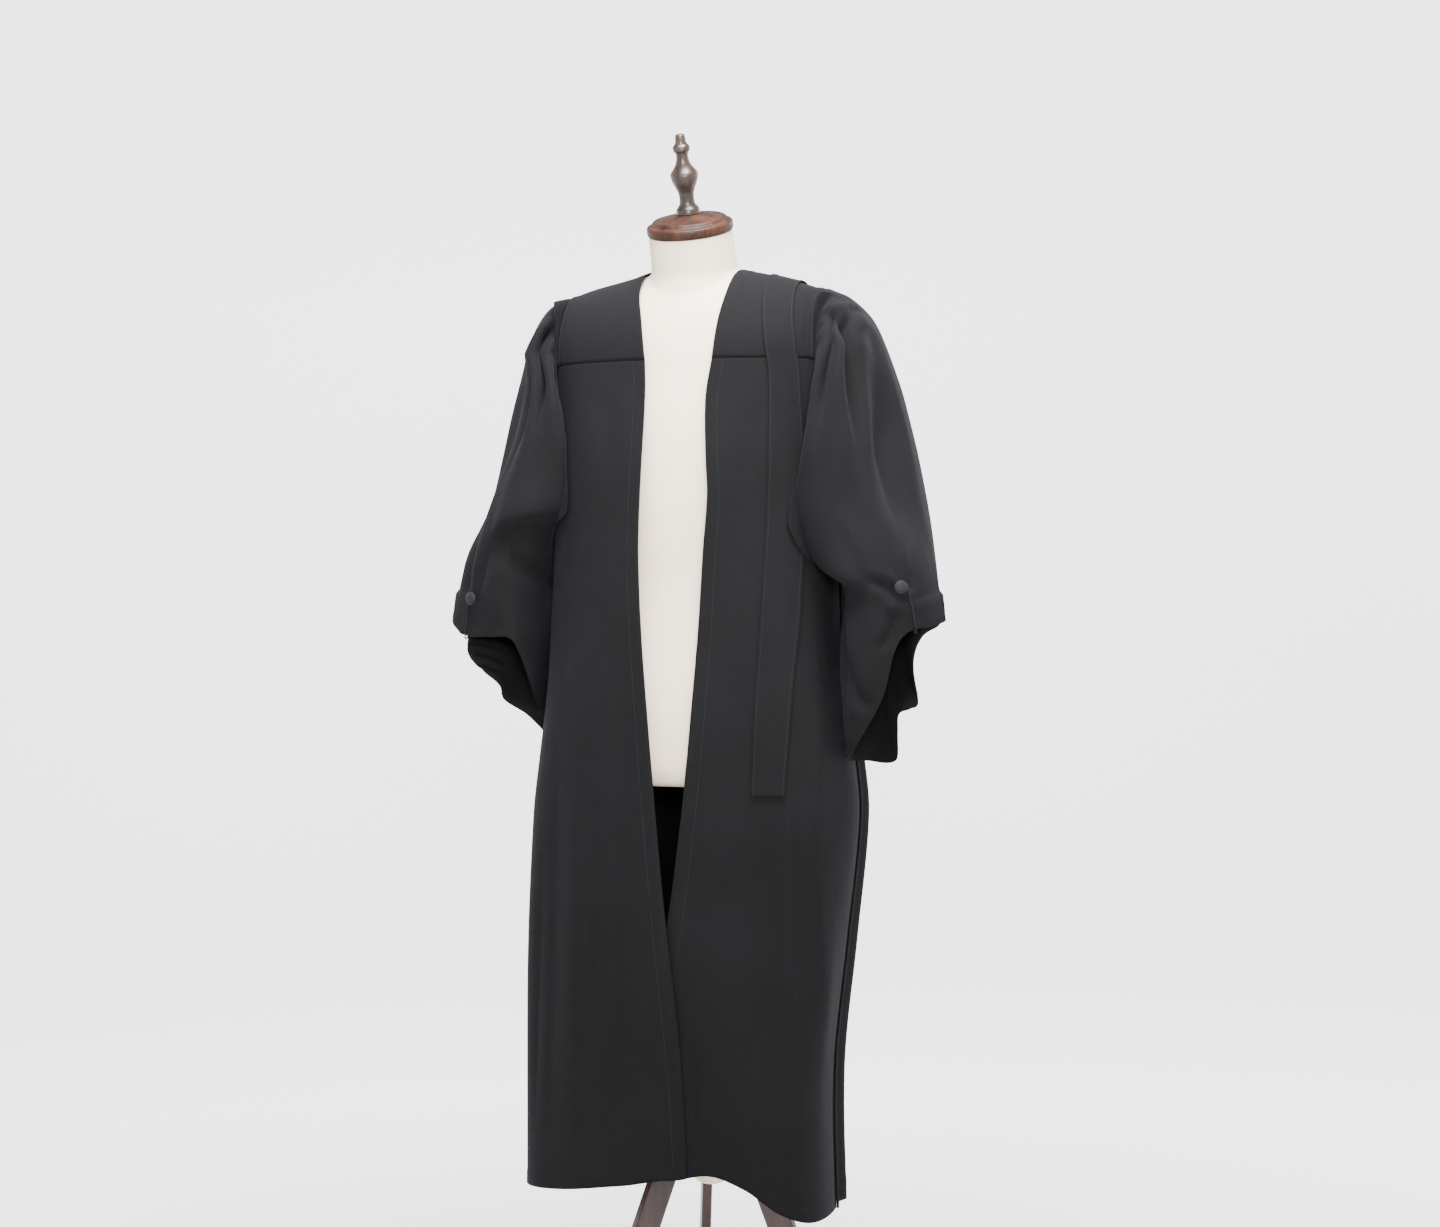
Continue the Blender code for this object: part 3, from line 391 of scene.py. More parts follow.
def woven(name, dark, light, pitch, rough, sheen, sheen_tint):
    finish, tree, shader = new_finish(name)
    place = add(tree, "ShaderNodeTexCoord").outputs["Object"]
    cloth_map = add(tree, "ShaderNodeUVMap", uv_map="cloth").outputs["UV"]
    slow = add(tree, "ShaderNodeTexNoise", Vector=place, Scale=TONE_SCALE, Detail=3.0, Roughness=0.6)
    fibre = add(tree, "ShaderNodeTexNoise", Vector=cloth_map, Scale=FIBRE_SCALE, Detail=2.0)
    fibre = fibre.outputs["Fac"]
    blend = add(tree, "ShaderNodeMix", Factor=FIBRE_SHARE, A=slow.outputs["Fac"], B=fibre)
    twill = add(
        tree, "ShaderNodeTexWave", bands_direction="DIAGONAL", Vector=cloth_map,
        Scale=BAND_SPACING / pitch, Distortion=0.6, Detail_Scale=3.0,
    )
    height = add(tree, "ShaderNodeMath", fibre, 0.5, twill.outputs["Fac"], operation="MULTIPLY_ADD")
    bump = add(tree, "ShaderNodeBump", Strength=0.35, Distance=0.0002, Height=height.outputs["Value"])
    fill(
        shader, Base_Color=two_tones(tree, blend.outputs["Result"], dark, light),
        Normal=bump.outputs["Normal"], Roughness=rough, Specular_IOR_Level=0.08,
        Sheen_Weight=sheen, Sheen_Roughness=0.45, Sheen_Tint=(*sheen_tint, 1),
    )
    return finish


robe_cloth = woven(
    "robe twill", (0.0018, 0.0018, 0.0020), (0.0035, 0.0034, 0.0039),
    pitch=0.0008, rough=0.9, sheen=0.0085, sheen_tint=(0.62, 0.60, 0.88),
)
button_cloth = woven(
    "button cloth", (0.0045, 0.0045, 0.005), (0.008, 0.008, 0.009),
    pitch=0.0005, rough=0.7, sheen=0.04, sheen_tint=(0.7, 0.72, 0.85),
)
form_cloth = woven(
    "form cover", (0.50, 0.415, 0.33), (0.58, 0.485, 0.39),
    pitch=0.0011, rough=0.9, sheen=0.05, sheen_tint=(1.0, 0.96, 0.9),
)
print("cloths", robe_cloth.name, button_cloth.name, form_cloth.name)

# %% [markdown]
# ## Sewn edges
# Every free edge of the robe is turned under and stitched, so it is a little thicker there. The
# panel's outer face rises by half a millimetre over the width of the turning, which gives the
# faint double line along the fronts and the hem.

# %% Turned edge helper
TURNING_WIDE, TURNING_LIFT = 0.016, 0.0005
TURNING_IN, TURNING_OUT = 0.001, 0.002
GROOVE_DEEP, GROOVE_WIDE = 0.0005, 0.0012


def turning(distance, wide=TURNING_WIDE):
    """Lift of a turned edge at a distance from it, with a groove where the stitches pull it in."""
    groove = np.exp(-(((distance - wide) / GROOVE_WIDE) ** 2))
    lifted = 1 - eased(wide - TURNING_IN, wide + TURNING_OUT, distance)
    return TURNING_LIFT * lifted - GROOVE_DEEP * groove


# %% Yoke
YOKE_ROWS, YOKE_COLUMNS = (44, 20, 30), 64
YOKE_RISE, YOKE_ROLL = 0.0012, 0.007
YOKE_GROOVE, YOKE_GROOVE_PLACE, YOKE_GROOVE_WIDE = 0.0006, 0.011, 0.0016
YOKE_RIPPLE, RIPPLE_ACROSS, RIPPLE_ROUND = 0.0012, 46, 1.7


def yoke_grid(side):
    front, neck, behind = YOKE_ROWS
    turns = np.concatenate([
        np.linspace(0, RIDGE, front)[:-1],
        RIDGE + (NECK_TURN - RIDGE) * np.sin(np.linspace(0, RIDGE, neck)),
        np.linspace(NECK_TURN, math.pi, behind)[1:],
    ])[:, None]
    across = np.linspace(0, 1, YOKE_COLUMNS)[None, :]
    inner, outer = neck_edge(side, turns), side * arm_edge(turns)
    x = mixed(inner, outer, across)
    reach = np.abs(x - outer)
    free = np.where(turns < NECK_TURN, np.abs(x - inner), 1.0)
    roll = YOKE_RISE * np.exp(-((reach / YOKE_ROLL) ** 2))
    groove = YOKE_GROOVE * np.exp(-(((reach - YOKE_GROOVE_PLACE) / YOKE_GROOVE_WIDE) ** 2))
    ripple = YOKE_RIPPLE * np.sin(x * RIPPLE_ACROSS + turns * RIPPLE_ROUND) * np.sin(turns) ** 2
    return over_shoulder(x, turns, roll - groove + turning(free) + ripple)[:, ::side]


yoke = shell("yoke_cloth", [yoke_grid(-1), yoke_grid(1)], (0, 0, 1.2))

# %% [markdown]
# ## The two fronts
# Each front runs from its free edge to the side seam and from the yoke to the hem. Low down the
# wearer's left front goes behind the right one, so it is drawn in there.

# %% Fronts
TUCK_TOP, TUCK_LONG, TUCK_FROM, TUCK_WIDE = 0.80, 0.46, -0.05, 0.075
TUCK_DEEP, TUCK_STEP, TUCK_CURVE = 0.034, 0.0035, 1.3
STEP_SOON, STEP_FULL, STEP_END = 6, 0.10, 0.17
FRONT_COLUMNS, FRONT_ROWS, SEAM_ROWS, SEAM_SHARE = 120, 240, 14, 0.008
PLAIN_HEM, MEAN_RADIUS, HEM_WIDE = 0.30, 0.14, 0.020


def armhole_angle(height, start, top):
    """The angle of the armhole's edge on the body, which meets the side seam at the underarm."""
    t = (top - height) / (top - UNDERARM_HEIGHT)
    above = mixed(start, SIDE_SEAM, np.maximum(t, 0) ** 4)
    return np.where(height <= UNDERARM_HEIGHT, SIDE_SEAM, above)


def tuck(x, height):
    """How far the wearer's left front is drawn in under the right one, low down."""
    low = np.clip((TUCK_TOP - height) / TUCK_LONG, 0, 1)
    near = 1 - np.clip((x - TUCK_FROM) / TUCK_WIDE, 0, 1)
    step = TUCK_STEP * np.minimum(low * STEP_SOON, 1) * (1 - eased(STEP_FULL, STEP_END, x))
    return step + TUCK_DEEP * low**TUCK_CURVE * near * near * (3 - 2 * near)


LAP_HIGH, LAP_DEEP, LAP_EDGE, LAP_SOFT = 0.003, 0.0007, 0.0004, 0.0011
SEAM_LAP, SEAM_LAP_EASE = 0.0025, 0.05
SEAM_SINK, SINK_FROM, SINK_FULL = 0.0018, -0.008, -0.001


def under_seam(height, top):
    """How far a panel's upper edge is set in where the yoke laps over it."""
    return -LAP_DEEP * np.exp(-((np.maximum(top - height - LAP_EDGE, 0) / LAP_SOFT) ** 2))


def rows_down(count):
    """Shares of the way down a panel, close together where it runs under the yoke."""
    near = np.linspace(0, SEAM_SHARE, SEAM_ROWS)
    rest = SEAM_SHARE + (1 - SEAM_SHARE) * np.linspace(0, 1, count - SEAM_ROWS + 1)[1:]
    return np.concatenate([near, rest])[:, None]


def front_grid(side):
    """A front's points, from its free edge to the side seam and from the yoke to the hem."""
    across = np.linspace(0, 1, FRONT_COLUMNS)[None, :]
    down = rows_down(FRONT_ROWS)
    top = FRONT_YOKE_HEIGHT + LAP_HIGH
    height = mixed(top, PLAIN_HEM, down) + 0 * across
    name = SIDE_NAMES[side]
    edge = angle_at(read(EDGES, name, height), height)
    outer = armhole_angle(np.minimum(height, FRONT_YOKE_HEIGHT), ARMHOLE_FRONT, FRONT_YOKE_HEIGHT)
    below = eased(UNDERARM_HEIGHT, UNDERARM_HEIGHT - SEAM_LAP_EASE, height)
    outer = outer + SEAM_LAP / MEAN_RADIUS * below
    angle = mixed(edge, side * outer, across)
    past_seam = (np.abs(angle) - SIDE_SEAM) * MEAN_RADIUS
    hem = read(HEM, "height", np.degrees(angle))
    height = mixed(top, hem, down)
    x = body_point(angle, height)[..., 0]
    from_edge = np.abs(x - read(EDGES, name, height))
    out = turning(from_edge) + turning(height - hem, HEM_WIDE) + under_seam(height, FRONT_YOKE_HEIGHT)
    out = out - (tuck(x, height) if side > 0 else 0.0)
    out = out - SEAM_SINK * eased(SINK_FROM, SINK_FULL, past_seam)
    return body_point(angle, height, out)


front_right = shell("front_right_cloth", [front_grid(-1)], (0, 0.1, 0.9))
front_left = shell("front_left_cloth", [front_grid(1)], (0, 0.1, 0.9))

# %% [markdown]
# ## The fluted back
# The back is gathered to the yoke in rows of tight flutes, which open into broad soft folds lower
# down. Each flute is a wave round the body. A finer wave near the yoke gives the small gathers,
# and an uneven spacing keeps them from looking machined.

# %% Back
FLUTES, SMALL_FLUTES, BACK_COLUMNS, BACK_ROWS = 11, 5, 420, 120
FLUTE_SWAY, FLUTE_SWAYS, FLUTE_START = 0.012, 2.5, 0.6
FLUTE_LEAST, FLUTE_FADE, FLUTE_SEAM = 0.15, 0.25, 0.02
FINE_START, SMALL_SWAY, SMALL_SWAYS = 0.5, 3, 40
DRIFT, DRIFT_ACROSS, DRIFT_UP, DRIFT_TOP, DRIFT_FULL = 0.0022, 31, 7, 1.35, 1.0
FLUTE_ROWS = columns("height_mm wide_mm fine_mm small_mm", """
    300 15.5 0 0, 600 14 0 0, 900 12 0.8 0, 1150 8 2.2 0.2, 1300 4 3.5 1, 1380 1 3 1.6, 1400 0 0 1
""")


def back_grid():
    """The back's points, from side seam to side seam and from the yoke to the hem."""
    across = np.linspace(0, 1, BACK_COLUMNS)[None, :]
    down = rows_down(BACK_ROWS)
    top = BACK_YOKE_HEIGHT + LAP_HIGH
    height = mixed(top, PLAIN_HEM, down) + 0 * across
    edge = armhole_angle(np.minimum(height, BACK_YOKE_HEIGHT), ARMHOLE_BACK, BACK_YOKE_HEIGHT)
    edge = edge + np.where(height <= UNDERARM_HEIGHT, SEAM_GAP / 2 / MEAN_RADIUS, 0)
    angle = mixed(edge, 2 * math.pi - edge, across)
    signed = np.where(angle <= math.pi, angle, angle - 2 * math.pi)
    hem = read(HEM, "height", np.degrees(signed))
    height = mixed(top, hem, down)
    uneven = across + FLUTE_SWAY * np.sin(math.tau * FLUTE_SWAYS * across + FLUTE_START)
    inward = np.minimum(across, 1 - across)
    window = np.minimum(1.0, np.minimum(FLUTE_LEAST + inward / FLUTE_FADE, inward / FLUTE_SEAM))
    wave = read(FLUTE_ROWS, "wide", height) * np.cos(math.tau * FLUTES * uneven)
    fine = math.tau * 2 * FLUTES * uneven + FINE_START
    wave = wave + read(FLUTE_ROWS, "fine", height) * np.cos(fine)
    ragged = math.tau * SMALL_FLUTES * FLUTES * uneven + SMALL_SWAY * np.sin(across * SMALL_SWAYS)
    wave = wave + read(FLUTE_ROWS, "small", height) * np.cos(ragged)
    drift = DRIFT * np.sin(across * DRIFT_ACROSS + height * DRIFT_UP)
    drift = drift * eased(DRIFT_TOP, DRIFT_FULL, height)
    lap = under_seam(height, BACK_YOKE_HEIGHT)
    return body_point(signed, height, window * (wave + drift) + turning(height - hem, HEM_WIDE) + lap)


back = shell("back_cloth", [back_grid()], (0, 0, 0.9))

# %% [markdown]
# ## The sleeves
# A sleeve is a wide tube from the armhole to a hem that a button draws up. Its sections are ovals
# whose places come from a table, and its last part is eased to the hem's own line. The gathers at
# the shoulder are many short creases that run out of the seam, each with its own length.

# %% Sleeve sizes
SLEEVE = columns("station left_x_mm right_x_mm top_z_mm under_x_mm under_z_mm front_mm back_mm", """
    1 213 213 1519 202 1210 100 90,
    2 246 239 1482 205 1180 112 100,
    3 273 261 1411 208 1140 119 108,
    4 294 283 1335 212 1095 120 112,
    5 310 301 1262 210 1045 117 112,
    6 322 319 1195 211 995 112 108,
    7 330 334 1135 213 940 104 102,
    8 336 342 1086 216 902 92 92
""")
SLEEVE_SQUARENESS, HEM_STATION, HEM_EASE = 2.4, 8, 3.2
HEM_LEFT = columns("turn end x_mm y_mm z_mm", """
    0 8 352 -35 1084, 30 8 338 -60 1076, 55 8 314 -82 1070, 75 8 299 -92 1045, 95 8 286 -95 990,
    120 8 266 -95 950, 145 8 240 -85 912, 175 8 222 -40 899, 195 8 240 -10 897, 213 8 284 -25 899,
    222 8 289 -36 935, 230 8 292 -44 960, 242 8 309 -55 968, 254 8 323 -62 976, 266 8 319 -67 1008,
    280 8 320 -71 1038, 300 8 331 -70 1064, 330 8 350 -52 1078, 360 8 352 -35 1084
""")
HEM_RIGHT = columns("turn end x_mm y_mm z_mm", """
    0 8 344 -35 1095, 30 7.8 334 -63 1080, 55 7.3 308 -85 1063, 75 6.8 285 -98 1062,
    95 6.3 260 -104 1062, 120 5.8 236 -106 1060, 145 6 226 -90 1035, 180 7.3 226 -20 955,
    210 8 216 -5 922, 235 8 236 -45 955, 250 8 262 -64 976, 258 8 266 -68 994, 275 8 288 -75 1014,
    300 8 310 -75 1038, 318 8 315 -67 1058, 332 8 320 -58 1074, 360 8 344 -35 1095
""")
LEFT_CREASES = columns(CREASE_NAMES, """
    -1 212 1486 224 1405 226 1300 7 13 0 1,
    -1 222 1488 260 1400 288 1220 6.2 24 0.1 0.4,
    -1 248 1480 284 1380 316 1160 6.6 23 0.1 0.2,
    -1 252 1500 264 1470 276 1430 6 7 0 0,
    -1 232 1500 236 1480 240 1455 4 6 0 1,
    -1 283 1370 307 1250 322 1150 12 5 0 0,
    -1 222 1390 217 1300 214 1220 12 -4 0 0,
    -1 224 1110 226 1020 238 925 8 7 0 0,
    -1 232 1060 252 985 284 990 9 7 0 0,
    -1 303 1116 285 1132 262 1136 6 6 0 1,
    -1 306 1128 303 1170 300 1220 5.5 4.5 0 1,
    -1 317 1128 321 1160 322 1200 5 3.5 0 1,
    -1 262 1240 272 1160 282 1090 11 -4 0 0,
    -1 300 1090 292 1060 270 1045 6 5 0 1,
    1 222 1470 250 1300 280 1110 12 8 -0.2 0,
    1 214 1480 232 1340 240 1200 9 8 0 1,
    1 258 1400 284 1280 306 1130 12 4 0 0,
    1 222 1180 232 1080 244 960 10 6 0 0
""")
RIGHT_CREASES = columns(CREASE_NAMES, """
    -1 184 1462 190 1425 203 1370 6 13 0 1,
    -1 196 1486 220 1420 240 1280 6 22.5 0 0.4,
    -1 232 1450 254 1360 280 1200 9 11 0.1 0,
    -1 243 1190 216 1150 190 1112 9 8 0 0,
    -1 250 1185 252 1120 249 1060 11 -6 0 0,
    -1 262 1210 276 1150 296 1100 8 5 0 0,
    -1 310 1060 286 1052 266 1044 4 8 0 1,
    -1 308 1047 286 1040 268 1030 4 8 0 1,
    -1 302 1033 282 1025 266 1013 4 8 0 1,
    -1 276 1390 298 1270 316 1175 9 6 0 0,
    -1 262 1400 286 1270 308 1150 7 5 0 0,
    -1 212 1420 212 1340 206 1260 12 -4 0 0,
    -1 306 1130 302 1170 296 1220 6 4.5 0 1,
    1 222 1470 250 1300 280 1110 12 8 -0.2 0,
    1 210 1480 228 1340 236 1200 9 8 0 1,
    1 254 1400 284 1280 308 1130 12 4 0 0,
    1 222 1160 236 1060 250 960 10 6 0 0,
    -1 290 1017 276 1008 264 998 4 7 0 1
""")
SWAG_LEFT = columns("x_mm height_mm", """
    160 1235, 170 1216, 195 1170, 222 1142, 251 1127, 300 1118
""")
SWAG_RIGHT = columns("x_mm height_mm", """
    160 1228, 190 1223, 228 1217, 253 1206, 300 1170
""")
SIDES = {
    1: {"x": "left_x", "hem": HEM_LEFT, "creases": LEFT_CREASES, "swag": SWAG_LEFT, "seed": 11},
    -1: {"x": "right_x", "hem": HEM_RIGHT, "creases": RIGHT_CREASES, "swag": SWAG_RIGHT, "seed": 23},
}
OVERLAP = columns("height_mm left_mm right_mm", """
    1060 0 0, 1110 0 6, 1150 14 16, 1190 34 29, 1230 44 38, 1280 36 45, 1340 26 45, 1400 18 33,
    1450 6 12
""")
OVERLAP_STATIONS = columns("station share", """
    0 0, 0.5 0.55, 1.2 1, 2.5 0.9, 4.5 0.5, 6.5 0
""")
OVERLAP_CLEAR = 0.008
HEAD_GAP, HEAD_LIFT = 0.0008, 0.0015
BODY_CLEAR, FLUTE_CLEAR, CLEAR_FROM, CLEAR_EASE = 0.0045, 0.010, 1.245, 0.03

# %% Plain sleeve
def armhole_line(front):
    """Half the armhole, from the shoulder down to the underarm."""
    start, top, far = (
        (ARMHOLE_FRONT, FRONT_YOKE_HEIGHT, 0.0) if front else (ARMHOLE_BACK, BACK_YOKE_HEIGHT, math.pi)
    )
    turns = np.linspace(RIDGE, far, 60)
    over = over_shoulder(arm_edge(turns), turns)
    heights = np.linspace(top, UNDERARM_HEIGHT, 60)[1:]
    return np.concatenate([over, body_point(armhole_angle(heights, start, top), heights)])


def at_shares(line, share):
    """Points at shares of the way along a line, by length."""
    length = np.concatenate([[0], np.cumsum(np.linalg.norm(np.diff(line, axis=0), axis=1))])
    return np.stack([np.interp(share * length[-1], length, line[:, k]) for k in range(3)], -1)


def sleeve_rings(turns, side):
    """The sleeve's sections at every turn, the first one on the armhole."""
    front = turns <= math.pi
    head = np.where(
        front[:, None],
        at_shares(armhole_line(True), np.clip(turns / math.pi, 0, 1)),
        at_shares(armhole_line(False), np.clip(2 - turns / math.pi, 0, 1)),
    )
    rings = [head + np.stack([np.full_like(turns, HEAD_GAP), 0 * turns, -HEAD_LIFT * np.cos(turns)], -1)]
    up = power_of(np.cos(turns), 2 / SLEEVE_SQUARENESS)
    fore = power_of(np.sin(turns), 2 / SLEEVE_SQUARENESS)
    for row in table_rows(SLEEVE):
        top_x = row[SIDES[side]["x"]]
        x = (top_x + row["under_x"]) / 2 + (top_x - row["under_x"]) / 2 * up
        z = (row["top_z"] + row["under_z"]) / 2 + (row["top_z"] - row["under_z"]) / 2 * up
        rings.append(np.stack([x, -np.where(fore > 0, row["front"], row["back"]) * fore, z], -1))
    return np.array(rings)


def sections(rings, station, turn_number):
    """Points between the sections, smooth along the sleeve."""
    i = np.clip(station.astype(int), 0, HEM_STATION - 1)
    t = (station - i)[..., None]
    a, b, c, d = (rings[np.clip(i + k, 0, HEM_STATION), turn_number] for k in (-1, 0, 1, 2))
    square, cube = 2 * a - 5 * b + 4 * c - d, 3 * b - a - 3 * c + d
    return 0.5 * (2 * b + (c - a) * t + square * t * t + cube * t**3)


def plain_sleeve(stations, turns, side):
    """The sleeve's plain form, trimmed and eased to its hem, as if it were the wearer's left one."""
    rings, hem = sleeve_rings(turns, side), SIDES[side]["hem"]
    degrees = np.degrees(turns) % 360
    number = np.arange(len(turns))[None, :] + 0 * stations[:, None].astype(int)
    end = read(hem, "end", degrees)[None, :]
    point = sections(rings, stations[:, None] * end / HEM_STATION, number)
    t = np.maximum(0, (stations - HEM_STATION + HEM_EASE) / HEM_EASE)[:, None, None]
    target = np.stack([read(hem, name, degrees) for name in "xyz"], -1)[None]
    last = sections(rings, end + 0 * stations[:, None], number)
    return point + (target - last) * t * t * (3 - 2 * t)


def ring_normals(points):
    """Outward normals of a tube of points whose columns go round and close."""
    closed = np.concatenate([points[:, -1:], points, points[:, :1]], axis=1)
    round_it = np.gradient(closed, axis=1)[:, 1:-1]
    down = np.gradient(points, axis=0)
    normal = np.cross(round_it, down)
    return normal / np.linalg.norm(normal, axis=-1, keepdims=True)


# %% [markdown]
# The gathers are drawn at random, but from a fixed seed, so that every run gives the same sleeve.
# Each has its own place round the head, its own width and its own length down the sleeve.

# %% Sleeve folds
GATHERS, GATHER_SPREAD, GATHER_DEEP = 13, math.radians(62), 0.0018
GATHER_LONG = (1.1, 1.5, 2.0, 2.8, 3.8)
GATHER_PLACE, GATHER_SHARE, GATHER_WIDE, GATHER_BEND = (0.3, 0.7), (0.55, 1.0), (2.4, 3.4), (-5, 5)
GATHER_OPEN, GATHER_FAN, GATHER_FADE, GATHER_SIDES = 0.7, 0.05, 0.9, 0.4
GATHER_LIP, GATHER_LIP_PLACE, GATHER_FROM, GATHER_FULL = 0.4, 1.8, 0.08, 0.60
CREASE_FROM, CREASE_FULL, FACE_EDGE = 0.05, 0.8, 0.03
PUFF, PUFF_STATION, PUFF_WIDE, PUFF_ROUND = 0.0020, 0.24, 0.22, 0.3
STATION_LONG, HEM_TURNING = 0.075, 0.018
FLAP_OUT, FLAP_STATION, FLAP_EASE, FLAP_ROUND = 0.004, 7.15, 0.12, 0.7
SWAG_DEEP, SWAG_WIDE, SWAG_NEAR, SWAG_START, SWAG_EDGE = 0.012, 0.008, 0.055, 0.6, 0.05
SWAG_ENDS = {1: (0.150, 0.160, 0.248, 0.274), -1: (0.160, 0.200, 0.244, 0.272)}


def gathers(station, turn, seed):
    """Short creases that run out of the seam over the shoulder."""
    chance = np.random.default_rng(seed)
    push = np.zeros(np.broadcast(station, turn).shape)
    signed = np.where(turn > math.pi, turn - math.tau, turn)
    for k in range(GATHERS):
        middle = mixed(-GATHER_SPREAD, GATHER_SPREAD, (k + chance.uniform(*GATHER_PLACE)) / GATHERS)
        length, deep = chance.choice(GATHER_LONG), chance.uniform(*GATHER_SHARE)
        wide = math.radians(chance.uniform(*GATHER_WIDE)) * (1 + GATHER_OPEN * station / length)
        bend = math.radians(chance.uniform(*GATHER_BEND)) * (station / length) ** 2
        bend = middle * (1 + GATHER_FAN * station) + bend
        fade = np.clip(1 - station / length, 0, 1) ** GATHER_FADE
        fade = fade * (1 - GATHER_SIDES * abs(middle) / GATHER_SPREAD)
        fade = fade * eased(GATHER_FROM, GATHER_FULL, station)
        d = (signed - bend) / wide
        lip = GATHER_LIP * np.exp(-((np.abs(d) - GATHER_LIP_PLACE) ** 2))
        push -= GATHER_DEEP * deep * fade * (np.exp(-d * d) - lip)
    return push


def clear_of_body(point, side):
    """Moves a sleeve's points out of the robe's body, as if it rested against it."""
    z = point[..., 2]
    front = point[..., 1] < 0
    half = side_of(np.full(z.shape, side), z) + BODY_CLEAR
    depth = depth_of(z, front) + BODY_CLEAR + np.where(front, 0, FLUTE_CLEAR)
    square = square_of(z, front)
    reach = np.abs(point[..., 0] / half) ** square + np.abs(point[..., 1] / depth) ** square
    reach = reach ** (1 / square)
    grow = mixed(1.0, 1 / np.minimum(reach, 1), np.clip((CLEAR_FROM - z) / CLEAR_EASE, 0, 1))
    return point * np.stack([grow, grow, np.ones_like(grow)], -1)


def over_front(point, station, side):
    """Draws a sleeve's front fold inwards, over the body's corner and a little in front of it."""
    x, y, z = np.moveaxis(point, -1, 0)
    share = read(OVERLAP_STATIONS, "share", station) * eased(0.005, 0.055, -y)
    x = x - read(OVERLAP, SIDE_NAMES[side], z) * share
    across = np.minimum(x / side_of(np.full(z.shape, side), z), 1.0)
    square = square_of(z, True)
    ahead = -depth_of(z, True) * (1 - across**square) ** (1 / square) - OVERLAP_CLEAR
    return np.stack([x, mixed(y, np.minimum(y, ahead), np.minimum(share * 4, 1)), z], -1)


def folded_sleeve(stations, turns, side):
    """Outer face of a sleeve with its gathers, creases and swag, for the wearer's left side."""
    facts = SIDES[side]
    point = plain_sleeve(stations, turns, side)
    normal = ring_normals(point)
    x, y, z = np.moveaxis(point, -1, 0)
    station, turn = np.broadcast_arrays(stations[:, None], turns[None, :])
    push = gathers(station, turn, facts["seed"])
    for face in (-1, 1):
        on_face = np.clip(y * face / FACE_EDGE, 0, 1)
        full = eased(CREASE_FROM, CREASE_FULL, station)
        push = push + crease_push(facts["creases"], face, x, z) * on_face * full
    over = z - read(facts["swag"], "height", x)
    start = np.clip(station / SWAG_START, 0, 1)
    near = np.exp(-((over / SWAG_NEAR) ** 2)) * np.clip(-y / SWAG_EDGE, 0, 1) * start
    first, full, last, end = SWAG_ENDS[side]
    near = near * eased(first, full, x) * (1 - eased(last, end, x))
    push = push + SWAG_DEEP * near * np.tanh(over / SWAG_WIDE)
    puff = PUFF * np.exp(-(((station - PUFF_STATION) / PUFF_WIDE) ** 2))
    puff = puff * np.clip(np.cos(turn) + PUFF_ROUND, 0, 1)
    hem_distance = (HEM_STATION - station) * STATION_LONG
    flap = FLAP_OUT * eased(FLAP_STATION, FLAP_STATION + FLAP_EASE, station)
    flap = flap * np.clip(2 * np.cos(turn) - FLAP_ROUND, 0, 1)
    push = push + puff + flap + turning(hem_distance, HEM_TURNING)
    return clear_of_body(over_front(point + normal * push[..., None], station, side), side)


# %% Sleeves
SLEEVE_ROWS, SLEEVE_COLUMNS, ROWS_CLOSER = 130, 280, 1.08
STATIONS = HEM_STATION * np.linspace(0, 1, SLEEVE_ROWS) ** ROWS_CLOSER
TURNS = np.linspace(0, math.tau, SLEEVE_COLUMNS + 1)[:-1]


def sleeve_shell(name, side):
    grid = folded_sleeve(STATIONS, TURNS, side) * (side, 1, 1)
    return shell(name, [grid], (0.25 * side, 0, 1.2), ring=True)


sleeve_right = sleeve_shell("sleeve_right_cloth", -1)
sleeve_left = sleeve_shell("sleeve_left_cloth", 1)

# %% [markdown]
# ## Strip and hood
# A long narrow strip hangs over the wearer's left shoulder, and a small pouch hangs behind it.
# Both lie on the robe, so they are made from its own surface, moved outwards. The strip is pressed
# flat and stitched along both edges.

# %% Strip
STRIP = columns("height_mm middle_mm half_mm", """
    854 134.5 21.2, 980 139.5 22, 1100 146.5 22.5, 1260 152.5 21.5, 1400 149 18.5, 1432 145.5 18.5,
    1500 136 19.5, 1600 122 21
""")
STRIP_END, STRIP_TURN, STRIP_RIDGE = 0.854, math.radians(112), 0.12
STRIP_LIFT, STRIP_THICK, STRIP_TURNING, STRIP_PRESSED = 0.0028, 0.0012, 0.005, 0.6
SLACK, SLACK_UP, SLACK_START, SLACK_HIGH, SLACK_LOW = 0.0016, 21, 0.6, 1.25, 0.95


def strip_grid(out=STRIP_LIFT, across=None):
    """The strip's points, up the front and over the shoulder to its end behind the ridge."""
    across = np.linspace(-1, 1, 33)[None, :] if across is None else across
    height = np.linspace(STRIP_END, FRONT_YOKE_HEIGHT, 190)[:, None]
    x = read(STRIP, "middle", height) + across * read(STRIP, "half", height)
    slack = SLACK * np.sin(height * SLACK_UP + SLACK_START) * across
    slack = np.abs(slack * eased(SLACK_HIGH, SLACK_LOW, height))
    edge = read(STRIP, "half", height) * (1 - np.abs(across))
    pressed = turning(edge, STRIP_TURNING) * STRIP_PRESSED
    down = body_point(angle_at(x, height), height, out + slack + pressed)
    turn = np.linspace(0, STRIP_TURN, 90)[1:, None]
    height = over_shoulder(STRIP_RIDGE, turn)[..., 2]
    x = read(STRIP, "middle", height) + across * read(STRIP, "half", height)
    edge = read(STRIP, "half", height) * (1 - np.abs(across))
    pressed = turning(edge, STRIP_TURNING) * STRIP_PRESSED
    return np.concatenate([down, over_shoulder(x, turn, out + pressed)])


